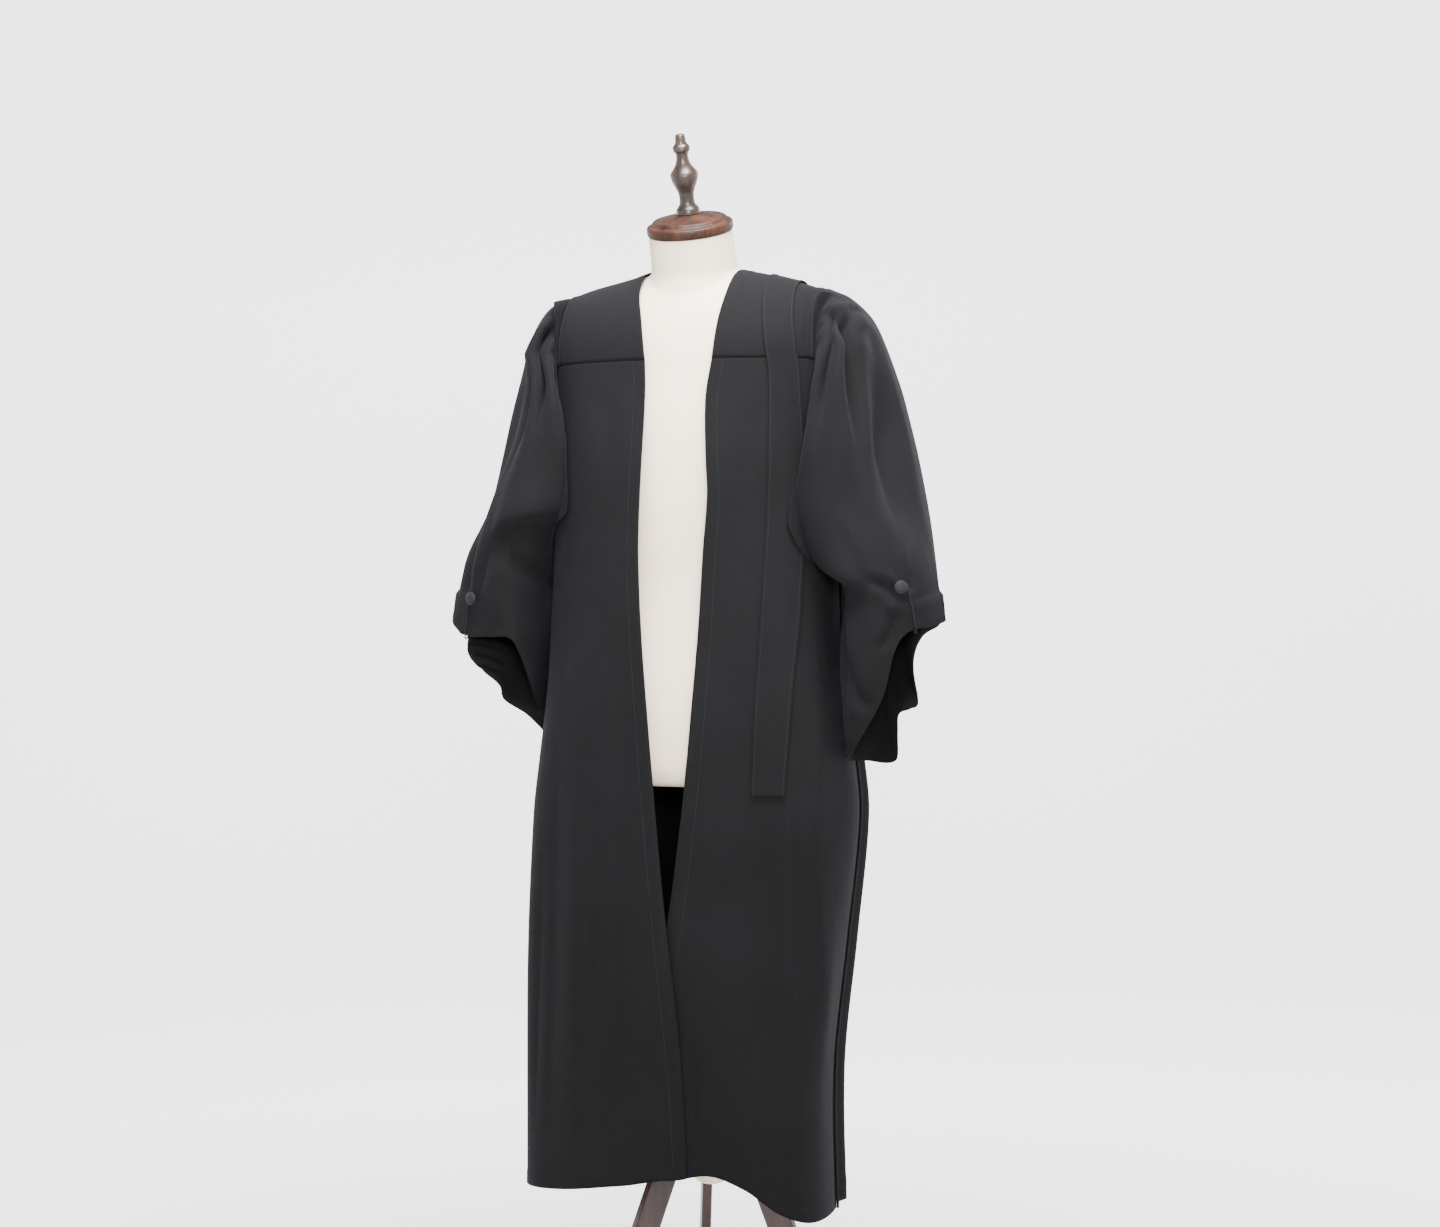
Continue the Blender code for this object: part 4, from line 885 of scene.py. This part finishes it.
strip = shell("strip_cloth", [strip_grid()], (0, 0, 1.2), thick=STRIP_THICK)

# %% Hood
HOOD = columns("down middle_mm half_mm out_mm", """
    0 125 20 3.6, 0.15 119 30 6, 0.45 105 48 11, 0.75 96 54 13, 0.92 94 44 12.5, 1 94 24 12
""")
HOOD_LOW, HOOD_BULGE, HOOD_FULL, HOOD_SHARE, HOOD_START = 1.262, 0.012, 0.8, 0.45, 0.004
PLEAT, PLEAT_ACROSS, PLEAT_DOWN = 0.0022, 9, 4


def hood_grid():
    """The pouch's points, over the back of the yoke and a little way down the back."""
    down, across = np.linspace(0, 1, 90)[:, None], np.linspace(-1, 1, 70)[None, :]
    x = read(HOOD, "middle", down) + across * read(HOOD, "half", down)
    bulge = HOOD_BULGE * (1 - across**2) * np.abs(np.sin(math.pi * down)) ** HOOD_FULL
    pleat = PLEAT * np.cos(across * PLEAT_ACROSS + down * PLEAT_DOWN)
    pleat = pleat * np.sin(math.pi * down) * (1 - across**4)
    out = read(HOOD, "out", down) + bulge + pleat
    turn = mixed(STRIP_TURN + HOOD_START, math.pi, np.minimum(down / HOOD_SHARE, 1))
    height = mixed(BACK_YOKE_HEIGHT, HOOD_LOW, np.clip((down - HOOD_SHARE) / (1 - HOOD_SHARE), 0, 1))
    over = over_shoulder(x, turn + 0 * x, out)
    under = body_point(math.pi - angle_at(x, height + 0 * x, False), height + 0 * x, out)
    return np.where((down < HOOD_SHARE)[..., None], over, under)


hood = shell("hood_cloth", [hood_grid()], (0, 0, 1.2))

# %% [markdown]
# ## Buttons
# Each button is a small dome covered with the robe's cloth, which puckers where it is gathered
# under the rim. A lathe form gives the dome, and a fine wave round the rim gives the puckers.

# %% Lathe helper
CORNER_CUTS = 2


def rounded(line):
    """A profile of height and radius pairs with its corners cut, which rounds them."""
    for _ in range(CORNER_CUTS):
        early, late = mixed(line[:-1], line[1:], 0.25), mixed(line[:-1], line[1:], 0.75)
        line = np.concatenate([line[:1], np.stack([early, late], 1).reshape(-1, 2), line[-1:]])
    return line


def closed_rings(name, points, sharp, move=Matrix()):
    """A piece from rings of points, closed at both ends, with edges over an angle kept sharp."""
    rows, sides = points.shape[:2]
    number = np.arange(rows * sides).reshape(rows, sides)
    right = np.roll(number, -1, axis=1)
    faces = np.stack([number[:-1], right[:-1], right[1:], number[1:]], -1).reshape(-1, 4).tolist()
    faces += [number[0][::-1].tolist(), number[-1].tolist()]
    mesh = bpy.data.meshes.new(name)
    mesh.from_pydata(points.reshape(-1, 3).tolist(), [], faces)
    mesh.transform(move)
    mesh.shade_smooth()
    mesh.set_sharp_from_angle(angle=math.radians(sharp))
    print(name, len(faces), "faces")
    return placed(name, mesh)


def lathe(name, line, sides, place, lean, pucker=0.0, puckers=0):
    """A turned piece with its place and lean in its mesh."""
    angles = np.arange(sides) * math.tau / sides
    height, radius = line[:, :1], line[:, 1:]
    wave = 1 + pucker * np.cos(puckers * angles) * (radius / radius.max()) ** 6
    x, y = radius * wave * np.cos(angles), radius * wave * np.sin(angles)
    points = np.stack([x, y, height + 0 * wave], -1)
    return closed_rings(name, points, 35, Matrix.Translation(Vector(place) - Vector(MIDDLE)) @ lean)


# %% Buttons
BUTTON_PLACES = {1: (6.7, math.radians(54)), -1: (7.05, math.radians(62))}
BUTTON_LIFT, BUTTON_SIDES, PUCKER, PUCKERS = 0.0014, 72, 0.012, 18
NEIGHBOURS = np.array([-0.06, 0.0, 0.06])
BUTTON = profile("""
    0 2.5, 3.4 2.5, 3.6 7.8, 4.6 9.1, 6.2 8.8, 7.8 6.8, 8.7 3.6, 9 0.4
""")


def sleeve_spot(station, turn, side, out):
    """A point on the folded sleeve, and the way out of it."""
    grid = folded_sleeve(station + NEIGHBOURS, TURNS, side)
    pick = round(turn / math.tau * len(TURNS))
    normal = ring_normals(grid)[1, pick - 4 : pick + 5].mean(axis=0)
    normal /= np.linalg.norm(normal)
    flip = np.array([side, 1, 1])
    return Vector((grid[1, pick] + normal * out) * flip), Vector(normal * flip)


buttons = {}
for side, label in SIDE_NAMES.items():
    spot, out = sleeve_spot(*BUTTON_PLACES[side], side, BUTTON_LIFT)
    lean = out.to_track_quat("Z", "Y").to_matrix().to_4x4()
    name = f"button_{label}_covered"
    buttons[label] = lathe(name, rounded(BUTTON), BUTTON_SIDES, spot, lean, PUCKER, PUCKERS)


# %% [markdown]
# ## Cords
# A short cord under each button draws the hem up. It is two plies twisted together. Geometry Nodes
# sweep a pair of small circles along the cord's path while the path's tilt turns them.

# %% Twisted cord nodes
def group_with(name, **inputs):
    """A node tree with these named inputs, each a number, or None for a finish."""
    tree = bpy.data.node_groups.new(name, "GeometryNodeTree")
    face = tree.interface
    face.new_socket("Geometry", in_out="INPUT", socket_type="NodeSocketGeometry")
    for label, value in inputs.items():
        kind = "NodeSocketMaterial" if value is None else "NodeSocketFloat"
        socket = face.new_socket(label.replace("_", " "), in_out="INPUT", socket_type=kind)
        if value is not None:
            socket.default_value = value
    face.new_socket("Geometry", in_out="OUTPUT", socket_type="NodeSocketGeometry")
    return tree, tree.nodes.new("NodeGroupInput").outputs, tree.nodes.new("NodeGroupOutput")


def result_of(name, path, tree, finish, **values):
    """Runs a node tree on a path of points and returns the plain mesh object it makes."""
    mesh = bpy.data.meshes.new(name)
    starts = np.cumsum([0] + [len(line) for line in path])
    points = [tuple(Vector(p) - Vector(MIDDLE)) for line in path for p in line]
    edges = [(n, n + 1) for a, b in zip(starts, starts[1:]) for n in range(a, b - 1)]
    mesh.from_pydata(points, edges, [])
    carrier = placed(name, mesh)
    nodes = carrier.modifiers.new("nodes", "NODES")
    nodes.node_group = tree
    for item in tree.interface.items_tree:
        if item.in_out == "INPUT" and item.name in ("Finish", *values):
            nodes[item.identifier] = finish if item.name == "Finish" else values[item.name]
    seen = carrier.evaluated_get(bpy.context.evaluated_depsgraph_get())
    made = bpy.data.meshes.new_from_object(seen)
    carrier.modifiers.remove(nodes)
    carrier.data = made
    made.name = name
    print(name, len(made.polygons), "faces")
    return carrier


def painted(tree, given, shape, out):
    """Ends a tree: real faces instead of copies, with the finish on them."""
    whole = add(tree, "GeometryNodeRealizeInstances", shape)
    paint = add(tree, "GeometryNodeSetMaterial", Geometry=whole.outputs[0], Material=given["Finish"])
    fill(out, paint.outputs[0])
    return tree


def times(tree, a, b):
    """One value times another."""
    return add(tree, "ShaderNodeMath", a, b, operation="MULTIPLY").outputs[0]


CORD_STEP, PLY_RADIUS, PLY_OUT = 0.0006, 0.26, 0.24


def twist_tree():
    tree, given, out = group_with("twisted cord", Thickness=0.0024, Twists_per_metre=300.0, Finish=None)
    path = add(tree, "GeometryNodeMeshToCurve", given["Geometry"])
    fine = add(tree, "GeometryNodeResampleCurve", mode="LENGTH", Curve=path.outputs[0], Length=CORD_STEP)
    along = add(tree, "GeometryNodeSplineParameter").outputs["Length"]
    angle = times(tree, times(tree, along, given["Twists per metre"]), math.tau)
    tilt = add(tree, "GeometryNodeSetCurveTilt", Curve=fine.outputs[0], Tilt=angle)
    radius = times(tree, given["Thickness"], PLY_RADIUS)
    ply = add(tree, "GeometryNodeCurvePrimitiveCircle", Resolution=10, Radius=radius)
    both = add(tree, "GeometryNodeJoinGeometry")
    for sign in (1, -1):
        offset = add(tree, "ShaderNodeCombineXYZ", X=times(tree, given["Thickness"], PLY_OUT * sign))
        moved = add(
            tree, "GeometryNodeTransform", Geometry=ply.outputs["Curve"], Translation=offset.outputs[0]
        )
        fill(both, moved.outputs[0])
    sweep = add(tree, "GeometryNodeCurveToMesh", Curve=tilt.outputs[0], Fill_Caps=True)
    fill(sweep, Profile_Curve=both.outputs[0])
    return painted(tree, given, sweep.outputs[0], out)


cord_thread, thread_tree, thread_shader = new_finish("cord thread")
thread_place = add(thread_tree, "ShaderNodeTexCoord").outputs["Object"]
thread_noise = add(thread_tree, "ShaderNodeTexNoise", Vector=thread_place, Scale=1500.0, Detail=2.0)
thread_colour = two_tones(
    thread_tree, thread_noise.outputs["Fac"], (0.006, 0.006, 0.007), (0.012, 0.012, 0.013)
)
fill(thread_shader, Base_Color=thread_colour, Roughness=0.8, Specular_IOR_Level=0.1)

# %% Cords
CORD_RADIUS, CORD_LIFT, CORD_END, WALL = 0.0012, 0.0010, 0.010, 0.002
CORD_BESIDE, CORD_LOW, CORD_PAST = math.radians(6), 7.93, 0.0035


def cord_path(side):
    """From the button down over the hem's edge and a little way up inside."""
    off = CORD_RADIUS + CORD_LIFT
    station, turn = BUTTON_PLACES[side]
    spots = [sleeve_spot(s, turn - CORD_BESIDE, side, off) for s in np.linspace(station, CORD_LOW, 9)]
    points = [spot for spot, _ in spots]
    normal = spots[-1][1]
    down = (points[-1] - points[-2]).normalized()
    points.append(points[-1] + down * CORD_PAST)
    reach = off + WALL / 2
    edge = points[-1] - normal * reach
    for angle in np.linspace(0, math.pi, 9)[1:]:
        points.append(edge + normal * reach * math.cos(angle) + down * reach * math.sin(angle))
    points.append(points[-1] - down * CORD_END)
    return points


twist, cords = twist_tree(), {}
for side, label in SIDE_NAMES.items():
    path = cord_path(side)
    name = f"cord_{label}_twisted"
    cords[label] = result_of(name, [path], twist, cord_thread, Thickness=2 * CORD_RADIUS)
    length = sum((b - a).length for a, b in zip(path, path[1:]))
    print(f"cord {label} {length * 1000:.1f} mm long")


# %% [markdown]
# ## Stitches
# Rows of small stitches hold the turned edges and the seams. Each row is a line just above the
# cloth. Geometry Nodes place one stitch at every few millimetres along it and point it that way.

# %% Stitch nodes
def stitch_tree():
    tree, given, out = group_with(
        "stitch row", Pitch=0.0036, Stitch_length=0.0026, Thread=0.00035, Finish=None
    )
    path = add(tree, "GeometryNodeMeshToCurve", given["Geometry"])
    spots = add(
        tree, "GeometryNodeCurveToPoints", mode="LENGTH", Curve=path.outputs[0], Length=given["Pitch"]
    )
    stitch = add(
        tree, "GeometryNodeMeshCylinder", Vertices=6,
        Radius=given["Thread"], Depth=given["Stitch length"],
    )
    copies = add(
        tree, "GeometryNodeInstanceOnPoints", Points=spots.outputs["Points"],
        Rotation=spots.outputs["Rotation"], Instance=stitch.outputs["Mesh"],
    )
    return painted(tree, given, copies.outputs[0], out)


STITCH_LIFT, YOKE_INSET, STRIP_ROWS = 0.0002, 0.005, 0.86
ROW_FROM, ROW_TO, ROW_POINTS, YOKE_ROW_ENDS, YOKE_ROW_POINTS = 0.004, 0.36, 500, 0.02, 160


def edge_row(side, inset):
    """A row beside a front's free edge, from the yoke seam down to the hem."""
    height = np.linspace(FRONT_YOKE_HEIGHT - ROW_FROM, ROW_TO, ROW_POINTS)
    x = read(EDGES, SIDE_NAMES[side], height) + side * inset
    out = STITCH_LIFT + turning(np.full_like(x, inset)) - (tuck(x, height) if side > 0 else 0)
    return body_point(angle_at(x, height), height, out)


def yoke_row(side, inset):
    """A row on the yoke beside its arm edge."""
    turn = np.linspace(YOKE_ROW_ENDS, math.pi - YOKE_ROW_ENDS, YOKE_ROW_POINTS)
    x = side * (arm_edge(turn) - inset)
    return over_shoulder(x, turn, STITCH_LIFT + YOKE_RISE * math.exp(-((inset / YOKE_ROLL) ** 2)))


strip_rows = strip_grid(STRIP_LIFT + STITCH_LIFT, np.array([[-STRIP_ROWS, STRIP_ROWS]]))
rows = [edge_row(side, TURNING_WIDE) for side in (-1, 1)]
rows += [yoke_row(side, YOKE_INSET) for side in (-1, 1)]
rows += [strip_rows[:, 0], strip_rows[:, 1]]
seam_stitches = result_of("edge_stitches", rows, stitch_tree(), cord_thread)

# %% [markdown]
# ## The dress form
# The form is a smooth padded body without limbs, with a cream cloth cover. Its plan comes from a
# table up to the chest, and its shoulders follow the yoke that rests on them.

# %% Form sizes
FORM = columns("height_mm half_mm front_mm back_mm", """
    862 140 86 88, 868 149 94 96, 890 156 100 103, 980 160 103 107, 1120 140 93 95,
    1250 148 103 100, 1340 160 107 101, 1420 168 101 96
""")
FORM_SQUARENESS, FORM_CHEST, SHOULDER_END, SEAT = 2.3, 1.420, 12, 0.0014
FORM_FOOT, FOOT_RIM, FOOT_ROWS, BODY_FROM, BODY_ROWS = 0.862, 0.892, 10, 0.90, 50
FORM_SIDES, FORM_ROUND, SHOULDER_ROWS, ROWS_LOWER = 144, 0.13, 42, 1.6
NECK_LEAN, NECK_LONG, NECK_ROWS = math.radians(20), 0.070, 24
SETTLE_LONG, SETTLE_SHARE = 0.018, 0.9
NECK_AXIS = np.array([0, -math.sin(NECK_LEAN), math.cos(NECK_LEAN)])
NECK_FOOT = np.array([0.0, -0.012, 1.545])
NECK_RINGS = columns("along_mm radius_mm lean", """
    0 64 0, 10 60 0.35, 30 58 0.8, 70 56.8 1
""")

# %% Form body
def form_plan(angles, height):
    half, front, back = (read(FORM, name, height) for name in ("half", "front", "back"))
    depth = np.where(np.cos(angles) >= 0, -front, back)
    power = 2 / FORM_SQUARENESS
    return half * power_of(np.sin(angles), power), depth * np.abs(np.cos(angles)) ** power


def form_top(x, y):
    """Height of the form's shoulders, which carry the yoke."""
    half, front, back = (read(FORM, name, FORM_CHEST) for name in ("half", "front", "back"))
    share = np.maximum(1 - (np.abs(x) / half) ** FORM_SQUARENESS, 0) ** (1 / FORM_SQUARENESS)
    depth = np.maximum(np.where(y < 0, front, back) * share, SMALL)
    ridge = RIDGE_HEIGHT - RIDGE_FALL * np.sqrt(x * x + RIDGE_ROUND**2) - WALL - SEAT
    arch = np.sqrt(np.maximum(1 - (y / depth) ** 2, 0))
    end = np.sqrt(np.maximum(1 - (np.abs(x) / half) ** SHOULDER_END, 0))
    return FORM_CHEST + (ridge - FORM_CHEST) * arch * end


def form_rows():
    """The form's rings of points, from its foot over the shoulders to the top of its neck."""
    angles = np.arange(FORM_SIDES) * math.tau / FORM_SIDES
    rows, low = [], np.linspace(FORM_FOOT, FOOT_RIM, FOOT_ROWS)
    for height in np.concatenate([low, np.linspace(BODY_FROM, FORM_CHEST, BODY_ROWS)]):
        x, y = form_plan(angles, height)
        rows.append(np.stack([x, y, np.full(FORM_SIDES, height)], -1))
    edge_x, edge_y = form_plan(angles, FORM_CHEST)
    foot = read(NECK_RINGS, "radius", 0.0)
    for share in 1 - np.linspace(0, 1, SHOULDER_ROWS)[1:] ** ROWS_LOWER:
        x = mixed(NECK_FOOT[0] + foot * np.sin(angles), edge_x, share)
        y = mixed(NECK_FOOT[1] - foot * np.cos(angles), edge_y, share)
        rows.append(np.stack([x, y, form_top(x, y)], -1))
    first = rows.pop()
    for along in np.linspace(0, NECK_LONG, NECK_ROWS):
        radius, lean = read(NECK_RINGS, "radius", along), read(NECK_RINGS, "lean", along)
        x, y = radius * np.sin(angles), -radius * np.cos(angles)
        flat = np.stack([x, y, 0 * x], -1)
        leaning = np.stack([x, y * math.cos(NECK_LEAN), y * math.sin(NECK_LEAN)], -1)
        row = NECK_FOOT + NECK_AXIS * along + mixed(flat, leaning, lean)
        settle = 1 - eased(0.0, SETTLE_LONG, along)
        row[:, 2] = mixed(row[:, 2], first[:, 2] + along * SETTLE_SHARE, settle)
        rows.append(row)
    return rows


def wrap_map(piece):
    """A map in metres round and up a piece, for its weave."""
    mesh = piece.data
    places = np.array([tuple(v.co) for v in mesh.vertices]) + MIDDLE
    u = np.arctan2(places[:, 0], -places[:, 1]) * FORM_ROUND
    layer = mesh.uv_layers.new(name="cloth")
    for face in mesh.polygons:
        across = u[list(face.vertices)]
        turn = across.max() - across.min() > math.pi * FORM_ROUND
        for loop, vertex, value in zip(face.loop_indices, face.vertices, across):
            value += math.tau * FORM_ROUND if turn and value < 0 else 0
            layer.data[loop].uv = (value, places[vertex, 2])


torso = closed_rings("form_body", np.array(form_rows()) - MIDDLE, 50)
wrap_map(torso)

# %% [markdown]
# ## Turned wood
# The cap on the neck and the finial on it are turned on a lathe and polished. The profile is read
# off as heights and radii, and rounding its corners gives soft beads.

# %% Cap and finial
CAP = profile("""
    0 56.5, 2 59, 11 59, 13.5 57, 15 52, 19 50, 20.5 45, 19.5 42, 23 30, 26.5 17, 26.5 1
""")
FINIAL = profile("""
    0 16.5, 5.5 16, 9.2 13, 13.7 10.2, 25.6 10, 32.9 12.5, 43.9 17.5, 51.2 19.3, 54.9 18.6, 63.1 12,
    71.4 8.6, 80.5 8, 84.2 11, 87.8 12.1, 91.5 10.8, 94.2 7.4, 104.3 7, 107.1 5, 107.1 0.5
""")
FACE_GAP, CAP_HIGH, CAP_SIDES, FINIAL_SIDES, STAND_SIDES = 0.0003, 0.0265, 144, 96, (96, 64)
lean = Matrix.Rotation(NECK_LEAN, 4, "X")
seat = NECK_FOOT + NECK_AXIS * (NECK_LONG + FACE_GAP)
neck_cap = lathe("neck_cap_turned", rounded(CAP), CAP_SIDES, seat, lean)
foot = seat + NECK_AXIS * (CAP_HIGH + FACE_GAP)
finial = lathe("finial_turned", rounded(FINIAL), FINIAL_SIDES, foot, lean)

# %% Hub and pole
STAND = np.array([0.003, 0.044, 0.0])
HUB = profile("""
    306 4, 306 12, 309 19, 316 25, 330 29, 345 30, 380 30, 382 29.2, 384 30, 453.5 30, 455 28.5,
    455 4
""")
POLE = profile("""
    455.3 4, 455.3 12.5, 852 12.5, 855.7 40, 856 42, 861 42, 861.7 41, 861.7 4
""")
upright = Matrix.Identity(4)
hub = lathe("hub_turned", HUB, STAND_SIDES[0], STAND, upright)
pole = lathe("pole_turned", POLE, STAND_SIDES[1], STAND, upright)

# %% [markdown]
# Wood shows long grain with darker pores and slow bands of colour. A noise stretched along the
# grain gives the pores, and a second one gives the bands. Polish is a clear coat on top.

# %% Wood finishes
GRAIN_STRETCH, BANDS_WIDER = 0.08, 9


def wood(name, dark, light, grain, rough, coat, shine=0.25):
    finish, tree, shader = new_finish(name)
    place = add(tree, "ShaderNodeTexCoord").outputs["Object"]
    stretch = add(tree, "ShaderNodeMapping", Vector=place, Scale=(1, 1, GRAIN_STRETCH)).outputs["Vector"]
    pores = add(
        tree, "ShaderNodeTexNoise", Vector=stretch,
        Scale=grain, Detail=6.0, Roughness=0.65, Distortion=0.4,
    ).outputs["Fac"]
    bands = add(
        tree, "ShaderNodeTexNoise", Vector=stretch,
        Scale=grain / BANDS_WIDER, Detail=2.0, Distortion=1.2,
    )
    blend = add(tree, "ShaderNodeMix", Factor=0.5, A=pores, B=bands.outputs["Fac"])
    bump = add(tree, "ShaderNodeBump", Strength=0.15, Distance=0.0003, Height=pores)
    fill(
        shader, Base_Color=two_tones(tree, blend.outputs["Result"], dark, light, 0.38, 0.62),
        Normal=bump.outputs["Normal"], Roughness=rough, Specular_IOR_Level=shine,
        Coat_Weight=coat, Coat_Roughness=0.12,
    )
    return finish


finial_wood = wood(
    "finial dark wood", (0.006, 0.004, 0.003), (0.030, 0.016, 0.010), grain=300.0, rough=0.34, coat=0.12
)
cap_wood = wood(
    "cap red wood", (0.006, 0.003, 0.003), (0.034, 0.013, 0.007),
    grain=300.0, rough=0.46, coat=0.02, shine=0.08,
)
leg_wood = wood(
    "stained leg wood", (0.010, 0.004, 0.004), (0.028, 0.011, 0.010), grain=180.0, rough=0.45, coat=0.15
)
pale_wood = wood(
    "pale hub wood", (0.42, 0.33, 0.23), (0.58, 0.48, 0.36), grain=150.0, rough=0.5, coat=0.2
)
print("woods", finial_wood.name, cap_wood.name, leg_wood.name, pale_wood.name)

# %% [markdown]
# ## Put every piece in its place
# Each new piece takes the place of a part of the measured model and gets its finish. The flat
# sizes the cloth pieces were cut to are not given here; they would be estimates, since a dressed
# robe doesn't show them.

# %% Hand the pieces over
pieces = {
    "yoke": yoke, "front_right": front_right, "front_left": front_left, "back": back,
    "sleeve_right": sleeve_right, "sleeve_left": sleeve_left, "strip": strip, "hood": hood,
    **{f"button_{label}": button for label, button in buttons.items()},
    **{f"cord_{label}": cord for label, cord in cords.items()},
    "torso": torso, "neck_cap": neck_cap, "finial": finial, "hub": hub, "pole": pole,
}
OTHER_FINISHES = {
    "button_left": (button_cloth, "button_cloth"), "button_right": (button_cloth, "button_cloth"),
    "cord_left": (cord_thread, "cord_thread"), "cord_right": (cord_thread, "cord_thread"),
    "torso": (form_cloth, "form_cloth"), "neck_cap": (cap_wood, "dark_wood"),
    "finial": (finial_wood, "dark_wood"), "hub": (pale_wood, "hub_wood"), "pole": (leg_wood, "leg_wood"),
}
for node, piece in pieces.items():
    finish, slot = OTHER_FINISHES.get(node, (robe_cloth, "robe_cloth"))
    if not piece.data.materials:
        piece.data.materials.append(finish)
    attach(piece, "root")
    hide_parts(node)
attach(seam_stitches, "root")
for number in (1, 2, 3):
    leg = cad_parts[f"leg_{number}"]
    for slot in leg.material_slots:
        slot.material = leg_wood
print(len(pieces), "pieces in place, with", seam_stitches.name)


# %% [markdown]
# ## Studio
# The photograph's robe stands before a plain pale ground in soft light from above. A wide floor
# that curves up all round gives the same ground from every side, so no horizon shows.

# %% Floor and backdrop
FLAT_OUT, CURVE, WALL_TOP = 6.0, 2.5, 4.2
INNER_FLAT, CURVE_START, CURVE_POINTS, BOWL_SIDES = 4.0, 0.15, 12, 96


def studio_bowl():
    """A flat floor whose rim curves up into a wall, spun round the middle."""
    outline = [(0.0, 0.0), (INNER_FLAT, 0.0), (FLAT_OUT, 0.0)]
    turns = np.linspace(CURVE_START, math.pi / 2, CURVE_POINTS)
    outline += [(FLAT_OUT + CURVE * math.sin(a), CURVE - CURVE * math.cos(a)) for a in turns]
    outline.append((FLAT_OUT + CURVE, WALL_TOP))
    bm = bmesh.new()
    line = [bm.verts.new((radius, 0, height)) for radius, height in outline]
    edges = [bm.edges.new(pair) for pair in zip(line, line[1:])]
    bmesh.ops.spin(
        bm, geom=line + edges, cent=(0, 0, 0), axis=(0, 0, 1),
        angle=math.tau, steps=BOWL_SIDES, use_merge=True,
    )
    bmesh.ops.remove_doubles(bm, verts=bm.verts, dist=1e-5)
    bmesh.ops.recalc_face_normals(bm, faces=bm.faces)
    mesh = bpy.data.meshes.new("studio_floor")
    bm.to_mesh(mesh)
    bm.free()
    mesh.shade_smooth()
    print("floor", len(mesh.polygons), "faces")
    return placed("studio_floor", mesh)


# The floor and wall glow as painted light. Their emission is dimmer near the middle and brighter further
# out, so the ground looks evenly pale and lights the robe from all round.
GLOW_START, GLOW_FULL, GLOW_LOW, GLOW_HIGH = 0.8, 2.6, 0.5, 1.75
studio_floor = studio_bowl()
glowing_backdrop, paper, paper_shader = new_finish("glowing pale paper")
middle = add(paper, "ShaderNodeTexCoord").outputs["Object"]
near = add(paper, "ShaderNodeMapping", Vector=middle, Scale=(1 / GLOW_FULL,) * 3)
reach = add(paper, "ShaderNodeVectorMath", near.outputs["Vector"], operation="LENGTH")
glow = add(
    paper, "ShaderNodeMapRange", reach.outputs["Value"],
    GLOW_START / GLOW_FULL, 1.0, GLOW_LOW, GLOW_HIGH, interpolation_type="SMOOTHSTEP",
)
fill(
    paper_shader, Base_Color=(0.75, 0.75, 0.75, 1), Roughness=0.95, Specular_IOR_Level=0.0,
    Emission_Color=(1, 1, 1, 1), Emission_Strength=glow.outputs["Result"],
)
studio_floor.data.materials.append(glowing_backdrop)

# %% Lights
world = bpy.data.worlds.new("studio air")
world.use_nodes = True
fill(world.node_tree.nodes["Background"], Color=(0.95, 0.97, 1.0, 1), Strength=1.0)
bpy.context.scene.world = world


def soft_light(name, kind, place, aim, power, **values):
    light = bpy.data.lights.new(name, kind)
    light.energy = power
    for key, value in values.items():
        setattr(light, key, value)
    holder = placed(name, light)
    holder.location = place
    holder.rotation_euler = (Vector(aim) - Vector(place)).to_track_quat("-Z", "Y").to_euler()
    print(name, "light,", power, "watts")


soft_light("over_head", "AREA", (0.3, -0.7, 2.9), (0, -0.05, 1.4), 310, shape="DISK", size=1.2)
soft_light(
    "front_spot", "SPOT", (1.5, -3.9, 1.7), (0, 0, 1.40), 1750,
    shadow_soft_size=0.5, spot_size=math.radians(31), spot_blend=1.0,
)
soft_light("front_soft_box", "AREA", (1.5, -4.6, 2.2), (0, 0, 1.1), 40, shape="DISK", size=2.2)
soft_light("back_rim", "AREA", (1.6, 3.4, 3.0), (0, 0, 1.2), 60, shape="DISK", size=1.8)

# %% [markdown]
# ## Camera
# The camera stands level at waist height, a little to the wearer's left, with a moderately long
# lens. Its focal length was worked out from the width of the picture and the distance.

# %% Camera
CAMERA_TURN, CAMERA_HEIGHT, CAMERA_DISTANCE, AXIS_SHIFT = math.radians(18), 1.094, 3.6, 0.0288
FOCAL_PIXELS, PICTURE_WIDE, SENSOR, SEES_TO = 2628, 1440, 36.0, 60
lens = bpy.data.cameras.new("photo_camera")
lens.sensor_width, lens.clip_end = SENSOR, SEES_TO
lens.lens = FOCAL_PIXELS / PICTURE_WIDE * SENSOR
photo_camera = placed("photo_camera", lens)
right = Vector((math.cos(CAMERA_TURN), math.sin(CAMERA_TURN), 0))
ahead = Vector((-math.sin(CAMERA_TURN), math.cos(CAMERA_TURN), 0))
spot = right * AXIS_SHIFT - ahead * CAMERA_DISTANCE + Vector((0, 0, CAMERA_HEIGHT)) - Vector(MIDDLE)
photo_camera.location = spot
photo_camera.rotation_euler = ahead.to_track_quat("-Z", "Y").to_euler()
bpy.context.scene.camera = photo_camera
print("camera at", tuple(round(v, 4) for v in spot))
